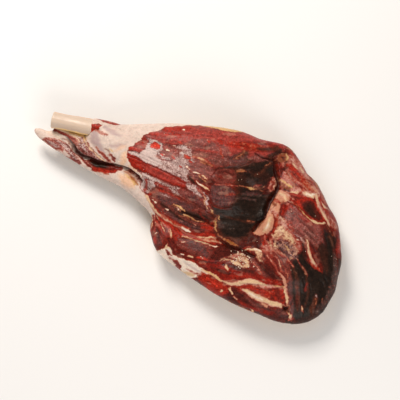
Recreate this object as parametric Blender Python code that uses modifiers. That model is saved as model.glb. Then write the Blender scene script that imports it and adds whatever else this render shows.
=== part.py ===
"""A boned-out cured ham with its shank, lying on its skin side with the cut face up.

Frame: +X runs from the shank to the rump, +Y to the side of the upper round, and +Z up.
The origin is on the surface that the ham lies on, under the middle of its length and width.
The ham is one solid. Its body is a lofted core that gives the outline and the skin side, and
the muscles that the knife has laid bare are lobes on top of it. All are fused into one skin,
and the bone end of the shank is a second solid, seated in a socket.
"""

import math

import bmesh
import bpy
import numpy as np
from mathutils import Matrix, Vector

MM = 0.001

HAM_COLOUR = (0.26, 0.035, 0.025, 1.0)
BONE_COLOUR = (0.78, 0.66, 0.47, 1.0)

# How the fused skin is made: the voxel, the smoothing passes and the triangles that are kept
VOXEL = 2.8 * MM
SMOOTHING_PASSES = 16
SMOOTHING_FACTOR = 0.5
HAM_TRIANGLES = 9400
SHORTEST_EDGE = 0.05 * MM

# The core, station by station along X, in mm: x, near edge y, far edge y, underside z, and the
# height of the upper face at the near and at the far edge. Below z = 0 it is cut off flat, which
# is the spot that the ham rests on.
CORE_STATIONS = [
    (-266, -52, -22, 25, 32, 34),
    (-240, -56, -8, 21, 34, 38),
    (-200, -58, 9, 17, 36, 45),
    (-168, -57, 25, 12, 39, 55),
    (-140, -55, 39, 8, 44, 65),
    (-100, -58, 59, 3, 50, 74),
    (-62, -71, 77, 0, 53, 79),
    (-30, -92, 91, -3, 54, 81),
    (-2, -127, 104, -4, 54, 82),
    (30, -135, 119, -5, 54, 82),
    (70, -138, 134, -5, 55, 78),
    (100, -138, 143, -5, 56, 68),
    (135, -138, 127, -5, 58, 68),
    (170, -138, 105, -4, 63, 72),
    (205, -136, 88, -2, 66, 71),
    (236, -130, 70, 1, 63, 65),
    (262, -119, 38, 5, 55, 55),
    (281, -103, -2, 11, 46, 46),
    (293, -78, -36, 18, 38, 38),
]
CORE_RINGS = 84
CORE_SIDES = 60
CORE_SQUARENESS = 2.4

# Each muscle or cord is a lobe along a spine, in mm: x, y, height of its crest, half width, half height
LOBES = {
    "upper_round": [
        (-200, 2, 54, 16, 18),
        (-140, 16, 70, 30, 28),
        (-80, 34, 83, 40, 34),
        (-20, 52, 89, 48, 38),
        (40, 74, 90, 52, 40),
        (84, 94, 79, 44, 38),
        (112, 116, 62, 26, 28),
    ],
    "dome": [
        (-190, -8, 54, 18, 18),
        (-130, -4, 71, 32, 30),
        (-70, 0, 84, 44, 38),
        (-10, 2, 92, 54, 44),
        (44, 6, 95, 58, 48),
        (86, 12, 86, 54, 44),
        (128, 22, 62, 34, 30),
    ],
    "hollow_side": [
        (0, 56, 76, 20, 26),
        (58, 60, 84, 36, 34),
        (98, 70, 72, 36, 32),
        (134, 82, 52, 28, 24),
    ],
    "shin_strip": [
        (-176, -20, 52, 12, 16),
        (-80, -25, 72, 22, 24),
        (-20, -30, 78, 28, 30),
        (50, -36, 76, 26, 28),
    ],
    "under_round": [
        (-80, -56, 52, 16, 18),
        (-20, -56, 66, 33, 28),
        (30, -56, 71, 38, 32),
        (84, -52, 69, 36, 30),
        (124, -46, 60, 24, 24),
    ],
    "dark_lobe": [
        (36, -36, 66, 20, 22),
        (98, -38, 72, 32, 30),
        (170, -48, 62, 30, 26),
    ],
    "corner_muscle": [
        (-34, -92, 50, 14, 16),
        (-8, -100, 57, 24, 21),
        (14, -106, 60, 30, 24),
        (36, -112, 56, 26, 22),
    ],
    "near_round": [
        (-12, -92, 57, 24, 22),
        (45, -94, 66, 37, 30),
        (92, -90, 67, 37, 30),
        (136, -80, 64, 26, 24),
    ],
    "near_strip": [
        (60, -106, 58, 22, 22),
        (120, -102, 66, 34, 28),
        (172, -94, 69, 38, 30),
        (228, -86, 64, 32, 26),
    ],
    "near_edge": [
        (-4, -116, 47, 16, 18),
        (60, -116, 54, 26, 21),
        (130, -114, 59, 30, 24),
        (200, -108, 60, 32, 25),
        (252, -98, 54, 28, 23),
    ],
    "rump_head": [
        (100, 104, 62, 24, 24),
        (136, 84, 70, 40, 30),
        (168, 66, 74, 39, 32),
        (204, 50, 73, 36, 32),
        (250, 34, 60, 32, 28),
    ],
    "rump_round": [
        (130, 36, 68, 24, 26),
        (172, 28, 77, 44, 34),
        (212, 6, 77, 50, 34),
        (262, -20, 60, 40, 30),
    ],
    "rump_tail": [
        (160, -34, 71, 28, 26),
        (204, -44, 76, 50, 34),
        (236, -62, 70, 54, 34),
        (272, -86, 50, 38, 28),
    ],
    "rump_rim": [
        (226, 36, 58, 26, 22),
        (247, 6, 60, 33, 26),
        (250, -36, 59, 35, 26),
        (246, -78, 54, 36, 23),
    ],
    "fat_knob": [
        (138, 74, 62, 16, 20),
        (141, 36, 74, 21, 26),
        (142, 0, 78, 23, 28),
        (142, -34, 66, 20, 24),
    ],
    "fat_saddle": [
        (140, -12, 70, 24, 24),
        (176, -8, 78, 34, 30),
        (214, -18, 75, 26, 28),
    ],
    "fat_ridge": [
        (100, -66, 60, 16, 18),
        (148, -56, 70, 26, 26),
        (196, -64, 72, 26, 28),
        (240, -100, 57, 20, 22),
    ],
    "sheath": [
        (-213, -7, 51, 16, 14),
        (-192, -9, 60, 25, 22),
        (-150, -6, 66, 39, 28),
        (-84, 6, 72, 50, 32),
    ],
    "hock_tissue": [
        (-272, -43, 37, 4, 6),
        (-240, -38, 42, 8, 9),
        (-206, -38, 47, 13, 14),
        (-160, -41, 50, 16, 18),
        (-100, -30, 58, 22, 24),
    ],
    "heel_cord": [
        (-298, -54, 37, 17, 9),
        (-268, -57, 42, 14, 10),
        (-228, -59, 41, 11, 10),
        (-190, -63, 38, 6, 10),
        (-150, -58, 40, 10, 13),
        (-110, -51, 48, 16, 19),
        (-70, -57, 53, 21, 24),
        (-20, -78, 50, 18, 22),
    ],
}
LOBE_RINGS = 22
LOBE_SIDES = 28
LOBE_END_BLUNTNESS = 0.8

# The shank bone: its sawn end, and the point inside the shank where it stops
BONE_END = Vector((-273, -28.5, 44)) * MM
BONE_ROOT = Vector((-184, 3, 43)) * MM
BONE_RADIUS = 14.8 * MM
BONE_WAIST = 13.8 * MM
BONE_CORNERS = 3
BONE_CORNER_SHARE = 0.05
BONE_SIDES = 32
BONE_RINGS = 12
BONE_EDGE = 1.2 * MM
SOCKET_CLEARANCE = 0.3 * MM


def clear_scene():
    for obj in list(bpy.data.objects):
        bpy.data.objects.remove(obj, do_unlink=True)


def new_collection(name):
    collection = bpy.data.collections.new(name)
    bpy.context.scene.collection.children.link(collection)
    return collection


def material(name, colour, roughness):
    made = bpy.data.materials.new(name)
    made.use_nodes = True
    shader = made.node_tree.nodes["Principled BSDF"]
    shader.inputs["Base Color"].default_value = colour
    shader.inputs["Roughness"].default_value = roughness
    shader.inputs["Metallic"].default_value = 0.0
    return made


def object_from(bm, name, collection):
    """A new object that holds the bmesh, its normals pointing out."""
    bmesh.ops.recalc_face_normals(bm, faces=bm.faces)
    mesh = bpy.data.meshes.new(name)
    bm.to_mesh(mesh)
    bm.free()
    obj = bpy.data.objects.new(name, mesh)
    collection.objects.link(obj)
    return obj


def smooth_rows(rows, at):
    """Rows of numbers read at the places `at`, from 0 at the first to 1 at the last, on a smooth curve."""
    rows = np.array(rows, float)
    padded = np.vstack([2 * rows[0] - rows[1], rows, 2 * rows[-1] - rows[-2]])
    place = np.clip(np.asarray(at, float), 0, 1) * (len(rows) - 1)
    first = np.minimum(place.astype(int), len(rows) - 2)
    t = (place - first)[:, None]
    a, b, c, d = (padded[first + k] for k in range(4))
    return 0.5 * (2 * b + (c - a) * t + (2 * a - 5 * b + 4 * c - d) * t**2 + (3 * b - a - 3 * c + d) * t**3)


def add_core(bm):
    """The ham's mass: a loft whose sections are superellipses between the near and the far edge."""
    rows = smooth_rows(CORE_STATIONS, np.linspace(0, 1, CORE_RINGS)) * MM
    power = 2 / CORE_SQUARENESS
    rings = []
    for x, near, far, low, near_high, far_high in rows:
        ring = []
        for k in range(CORE_SIDES):
            angle = 2 * math.pi * k / CORE_SIDES
            across = math.copysign(abs(math.cos(angle)) ** power, math.cos(angle))
            upward = math.copysign(abs(math.sin(angle)) ** power, math.sin(angle))
            high = near_high + (far_high - near_high) * (1 + across) / 2
            y = (near + far) / 2 + (far - near) / 2 * across
            ring.append(bm.verts.new((x, y, (low + high) / 2 + (high - low) / 2 * upward)))
        rings.append(ring)
    for ring, following in zip(rings, rings[1:]):
        for k in range(CORE_SIDES):
            after = (k + 1) % CORE_SIDES
            bm.faces.new((ring[k], ring[after], following[after], following[k]))
    bm.faces.new(rings[0][::-1])
    bm.faces.new(rings[-1])


def add_lobe(bm, stations):
    """A muscle: a sphere drawn out along a spine, as wide and as high as its stations say."""
    made = bmesh.ops.create_uvsphere(bm, u_segments=LOBE_SIDES, v_segments=LOBE_RINGS, radius=1.0)
    corners = made["verts"]
    polar = np.array([math.acos(max(-1.0, min(1.0, v.co.z))) for v in corners])
    along = (1 - np.cos(polar)) / 2
    rows = smooth_rows(stations, along) * MM
    ahead = smooth_rows(stations, along + 0.02) - smooth_rows(stations, along - 0.02)
    for v, angle, row, step in zip(corners, polar, rows, ahead):
        x, y, crest, half_width, half_height = row
        girth = math.sin(angle) ** LOBE_END_BLUNTNESS
        around = math.atan2(v.co.y, v.co.x)
        length = math.hypot(step[0], step[1])
        side = half_width * girth * math.cos(around) / length
        lift = half_height * girth * math.sin(around)
        v.co = (x - step[1] * side, y + step[0] * side, crest - half_height + lift)


def evaluated_mesh(obj):
    graph = bpy.context.evaluated_depsgraph_get()
    return bpy.data.meshes.new_from_object(obj.evaluated_get(graph))


def fused_skin(collection):
    """Core and lobes as one closed skin: voxels fuse them, smoothing rounds the seams, and decimating thins it."""
    bm = bmesh.new()
    add_core(bm)
    for stations in LOBES.values():
        add_lobe(bm, stations)
    rough = object_from(bm, "rough", collection)
    fuse = rough.modifiers.new("fuse", "REMESH")
    fuse.mode = "VOXEL"
    fuse.voxel_size = VOXEL
    soften = rough.modifiers.new("soften", "SMOOTH")
    soften.factor = SMOOTHING_FACTOR
    soften.iterations = SMOOTHING_PASSES
    rough.modifiers.new("triangles", "TRIANGULATE")
    dense = evaluated_mesh(rough)
    thin = rough.modifiers.new("thin", "DECIMATE")
    thin.ratio = HAM_TRIANGLES / len(dense.polygons)
    bpy.data.meshes.remove(dense)
    mesh = evaluated_mesh(rough)
    bpy.data.objects.remove(rough, do_unlink=True)
    return mesh


def flatten_underside(mesh):
    """Cuts off what is below z = 0, which leaves the flat spot that the ham rests on."""
    bm = bmesh.new()
    bm.from_mesh(mesh)
    everything = bm.verts[:] + bm.edges[:] + bm.faces[:]
    cut = bmesh.ops.bisect_plane(
        bm, geom=everything, plane_co=(0, 0, 0), plane_no=(0, 0, 1), clear_inner=True
    )
    rim = [part for part in cut["geom_cut"] if isinstance(part, bmesh.types.BMEdge)]
    bmesh.ops.holes_fill(bm, edges=rim)
    bmesh.ops.dissolve_degenerate(bm, dist=SHORTEST_EDGE, edges=bm.edges)
    bmesh.ops.triangulate(bm, faces=bm.faces)
    return bm


def centring_of(bm):
    """The move that puts the middle of the length and width over the origin."""
    xs = [v.co.x for v in bm.verts]
    ys = [v.co.y for v in bm.verts]
    return Matrix.Translation((-(min(xs) + max(xs)) / 2, -(min(ys) + max(ys)) / 2, 0))


def bone_body(extra, move):
    """The bone end: a three-cornered shaft with a slight waist. `extra` widens it for the socket."""
    bm = bmesh.new()
    made = bmesh.ops.create_cone(
        bm,
        cap_ends=True,
        segments=BONE_SIDES,
        radius1=1.0,
        radius2=1.0,
        depth=1.0,
        matrix=Matrix.Translation((0, 0, 0.5)),
    )
    edges = {e for v in made["verts"] for e in v.link_edges}
    lengthwise = [e for e in edges if e.verts[0].co.z != e.verts[1].co.z]
    bmesh.ops.subdivide_edges(bm, edges=lengthwise, cuts=BONE_RINGS)
    axis = BONE_ROOT - BONE_END
    for v in bm.verts:
        share = v.co.z
        waist = math.sin(math.pi * min(1.0, 2 * share))
        corners = 1 + BONE_CORNER_SHARE * math.cos(BONE_CORNERS * math.atan2(v.co.y, v.co.x))
        radius = (BONE_RADIUS + (BONE_WAIST - BONE_RADIUS) * waist) * corners + extra
        v.co = (v.co.x * radius, v.co.y * radius, share * (axis.length + 2 * extra) - extra)
    turn = Vector((0, 0, 1)).rotation_difference(axis).to_matrix().to_4x4()
    bmesh.ops.transform(bm, matrix=move @ Matrix.Translation(BONE_END) @ turn, verts=bm.verts)
    return bm


def build_ham(skin, move, parts, helpers):
    bmesh.ops.transform(skin, matrix=move, verts=skin.verts)
    ham = object_from(skin, "ham", parts)
    ham.data.materials.append(material("cured_meat", HAM_COLOUR, 0.4))
    cutter = object_from(bone_body(SOCKET_CLEARANCE, move), "socket_cutter", helpers)
    cutter.hide_render = True
    cutter.display_type = "WIRE"
    socket = ham.modifiers.new("socket", "BOOLEAN")
    socket.operation = "DIFFERENCE"
    socket.object = cutter
    socket.solver = "EXACT"


def build_bone(move, parts):
    bone = object_from(bone_body(0.0, move), "shank_bone", parts)
    ease = bone.modifiers.new("sawn_edge", "BEVEL")
    ease.width = BONE_EDGE
    ease.segments = 2
    ease.limit_method = "ANGLE"
    bone.data.materials.append(material("bone", BONE_COLOUR, 0.5))


def main():
    clear_scene()
    parts = new_collection("boneless_ham")
    helpers = new_collection("helpers")
    skin = flatten_underside(fused_skin(helpers))
    move = centring_of(skin)
    build_ham(skin, move, parts, helpers)
    build_bone(move, parts)


main()
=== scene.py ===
"""A boned cured ham on a plain pale floor: meat, fat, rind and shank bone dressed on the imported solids."""

import math
from functools import partial

import bmesh
import bpy
import numpy as np
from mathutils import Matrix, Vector


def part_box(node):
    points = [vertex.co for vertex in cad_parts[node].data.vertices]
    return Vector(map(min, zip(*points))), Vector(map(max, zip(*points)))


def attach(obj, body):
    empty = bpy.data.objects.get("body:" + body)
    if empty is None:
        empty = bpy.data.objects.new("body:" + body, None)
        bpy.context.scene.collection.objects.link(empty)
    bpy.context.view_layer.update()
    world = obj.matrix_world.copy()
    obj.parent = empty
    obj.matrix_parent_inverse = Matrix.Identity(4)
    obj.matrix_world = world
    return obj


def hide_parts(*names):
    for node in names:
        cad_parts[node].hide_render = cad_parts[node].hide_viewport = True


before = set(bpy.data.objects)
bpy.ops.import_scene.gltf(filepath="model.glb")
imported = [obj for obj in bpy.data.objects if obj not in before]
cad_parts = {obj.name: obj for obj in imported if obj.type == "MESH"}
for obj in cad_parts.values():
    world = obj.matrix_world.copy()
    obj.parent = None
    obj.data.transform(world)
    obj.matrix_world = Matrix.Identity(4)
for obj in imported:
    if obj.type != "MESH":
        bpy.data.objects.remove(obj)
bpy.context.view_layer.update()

bl_info = {
    "name": "Boned Cured Ham",
    "version": (1, 0, 0),
    "blender": (4, 5, 0),
    "location": "3D View > Sidebar > Ham",
    "description": "Builds the meat, the shank bone and the studio of a boned cured ham",
    "category": "Object",
}

MM = 0.001

# The camera looks at the ham from the shank's side and from high above
CAMERA_AZIMUTH = 31.0
CAMERA_ELEVATION = 75.0
CAMERA_DISTANCE = 2.2667
CAMERA_TARGET = Vector((0.0194, -0.0182, 0.040))
LENS_MM = 120.0
SENSOR_MM = 36.0

# The lamps, which face the origin: place in metres, side in metres, power in watts and colour
LAMPS = {
    "key": ((-1.4, 1.0, 1.7), 0.9, 54.0, "#FFF3E6"),
    "fill": ((1.6, -1.5, 1.3), 1.6, 36.0, "#FFF5EC"),
}
SKY_COLOUR = "#FFF7F0"
SKY_STRENGTH = 0.4
FLOOR_HALF_SIDE = 3.0

# Marks are placed on a level plan, where the camera's line of sight to the meat crosses it. These are
# the plan's height and the place of its origin, in mm.
PLAN_LEVEL = 60.0
PLAN_ORIGIN = (1.4, 0.4)

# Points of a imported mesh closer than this, in mm, are merged
MERGE_GAP = 0.01

# How many times each skin is smoothed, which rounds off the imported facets
MEAT_SMOOTHINGS = 14
BONE_SMOOTHINGS = 3

# The sleeve of sheath round the bone's root: (x, y, z, radius) in mm
SLEEVE = ((-206.0, -4.4, 43.2, 16.2), (-196.0, -0.9, 43.1, 17.2), (-182.0, 4.0, 43.0, 17.4),
          (-164.0, 11.0, 41.5, 15.6), (-146.0, 18.0, 38.0, 10.0))
SLEEVE_SIDES = 28

# The underside, by the upward part of its normals, and the share of all faces left once it is thinned
UNDERSIDE = -0.25
KEPT_SHARE = 0.61

# Where the meat face turns to outer fat, and the outer fat to rind, by the upward part of the normal
FAT_STARTS = -0.08
FAT_FULL = -0.34
RIND_STARTS = -0.42
RIND_FULL = -0.78

# Points below this height, in mm, are where the ham rests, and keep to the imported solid
RESTING_LEVEL = 0.4

# The oval bulge of muscle on the dome, and the crumbly fat: middle and half widths in plan mm
BULGE_MIDDLE, BULGE_HALF = (48.0, 4.0), (23.0, 19.0)
BULGE_HEIGHT = 3.2
CRUMBLY_MIDDLE, CRUMBLY_HALF = (133.0, -76.0), (17.0, 12.0)

# How far noise moves the edges of marks, in mm: in lobes, and in feathers along the fibres
WOBBLE = 2.0
FEATHER = 2.6

# The share of that wobble that the creases follow
CREASE_WOBBLE = 0.7

# How far noise swings the softness of the marks' edges, and the level where outer fat starts
BLUR_SWING = 0.35
EDGE_SWING = 0.10

# How much of the fibres' relief is left on fat, and how much of it the film fills
FIBRES_ON_FAT = 0.35
FILM_FILLS = 0.7

# Kinds of noise: the width of a bump in mm, the seed, and how many layers it has
NOISES = {
    "wobble_x": (9.0, 11, 3),
    "wobble_y": (9.0, 23, 3),
    "blur": (14.0, 31, 1),
    "edge": (16.0, 41, 3),
    "lumps": (26.0, 71, 2),
    "dimples": (8.0, 81, 3),
    "crags": (5.0, 91, 2),
    "bone_grooves": (3.2, 101, 2),
    "bone_lumps": (15.0, 111, 2),
    "sawn_grain": (2.4, 121, 2),
    "crystals": (45.0, 131, 2),
}

# Kinds of streak that follow the fibres: width and length in mm, and the seed
STREAKS = {"fibre": (2.6, 30.0, 51), "marbling": (5.0, 16.0, 61)}

# The bone's direction, in degrees from +X
BONE_TURN = 19.5

# The bone's relief in mm: its lengthwise grooves, its unevenness and the grain of its sawn end
BONE_GROOVES = 0.25
BONE_LUMPS = 0.35
SAWN_GRAIN = 0.2

# How many times longer than wide the grooves are
GROOVE_STRETCH = 9.0

# Oil lies along the bone where it faces this way, by parts of the far side and of up, and its colour there
# holds painted light on that downward face. It starts and is full at these places along the bone, in mm
# from its middle
OIL_FACES = (-0.87, -0.5)
OIL_STARTS = -60.0
OIL_FULL = -20.0

# Grains of hard fat: how many to a square metre at most, height over width, and the seed
CRUMBS = (80000.0, 0.8, 5)
CRYSTALS = (4200.0, 0.5, 9)

# What each finish sets: the colour of the lean, how much dry silver film and how much fat lies over it,
# the colour of that fat and its height in mm. None leaves what is there. The last number is the softness
# of the mark's edge in mm.
FINISHES = {
    "dried": ("dried", 0.0, 0.0, None, 0.0, 8.0),
    "dark": ("dark", 0.0, 0.0, None, 0.0, 6.0),
    "brown": ("brown", 0.0, 0.0, None, 0.0, 6.0),
    "oxblood": ("oxblood", 0.0, 0.0, None, 0.0, 5.0),
    "deep": ("deep", 0.0, 0.0, None, 0.0, 5.0),
    "cherry": ("cherry", 0.0, 0.0, None, 0.0, 5.0),
    "wine": ("wine", 0.06, 0.0, None, 0.0, 5.0),
    "mauve": ("mauve", 0.14, 0.0, None, 0.0, 6.0),
    "dusk": ("dusk", 0.08, 0.0, None, 0.0, 6.0),
    # Plum paints a reflection on the upper round as well as plum lean
    "plum": ("plum", 0.20, 0.0, None, 0.0, 8.0),
    "red": ("red", 0.04, 0.0, None, 0.0, 4.0),
    "bright": ("bright", 0.0, 0.0, None, 0.0, 4.0),
    "vivid": ("vivid", 0.0, 0.0, None, 0.1, 2.0),
    "browning": ("brown", 0.0, 0.0, None, 0.0, 16.0),
    "blackening": ("dark", 0.0, 0.0, None, 0.0, 12.0),
    # Ash paints the grey reflection along the rim as well as ashen lean
    "ash": ("ash", 0.12, 0.0, None, 0.0, 6.0),
    "haze": ("mauve", 0.56, 0.0, None, 0.2, 7.0),
    "silver": ("mauve", 0.86, 0.0, None, 0.3, 5.0),
    "lilac": (None, 0.75, None, None, 0.2, 9.0),
    "rust": ("bright", 0.0, 0.36, "pink_fat", 0.1, 4.0),
    "peach": (None, 0.0, 1.0, "peach", 0.6, 8.0),
    "rose": ("red", 0.1, 0.62, "rose", 0.3, 3.4),
    "sheath": ("red", 0.0, 1.0, "sheath", 0.6, 3.0),
    "white_fat": ("red", 0.0, 1.0, "white_fat", 0.9, 2.8),
    "cream_fat": ("red", 0.0, 1.0, "cream_fat", 0.7, 3.4),
    "bruised_fat": ("red", 0.1, 0.50, "rose", 0.5, 6.0),
    "pink_fat": ("red", 0.0, 0.9, "pink_fat", 0.6, 4.0),
    "yellow_fat": ("brown", 0.0, 0.95, "yellow_fat", 0.5, 3.4),
    "amber_fat": ("brown", 0.0, 0.75, "amber_fat", 0.2, 4.0),
    "old_fat": ("brown", 0.0, 0.62, "old_fat", 0.1, 4.0),
    "mealy_fat": ("plum", 0.1, 0.6, "cream_fat", 0.6, 5.0),
    "flecked": ("dusk", 0.35, 0.42, "cream_fat", 0.3, 5.0),
}

# Kinds of crease: depth in mm, width of each lip in mm, and how dark its painted shade is at its deepest
CREASES = {"seam": (1.3, 2.2, 0.45), "cleft": (4.5, 3.0, 0.8), "fold": (8.0, 4.0, 1.0)}

# A crease is deepest where its edge is this far away or less, in mm and below 0 inside it, and painted
# shade darkens it over this share of its lip
CREASE_BED = -0.5
SHADED_LIP = 0.55


def area(finish, *outline):
    """A mark that fills an outline of (x, y) points in plan mm."""
    return finish, "area", outline


def streak(finish, *spine):
    """A mark along a spine of (x, y, half width) points in plan mm."""
    return finish, "streak", spine


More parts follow.
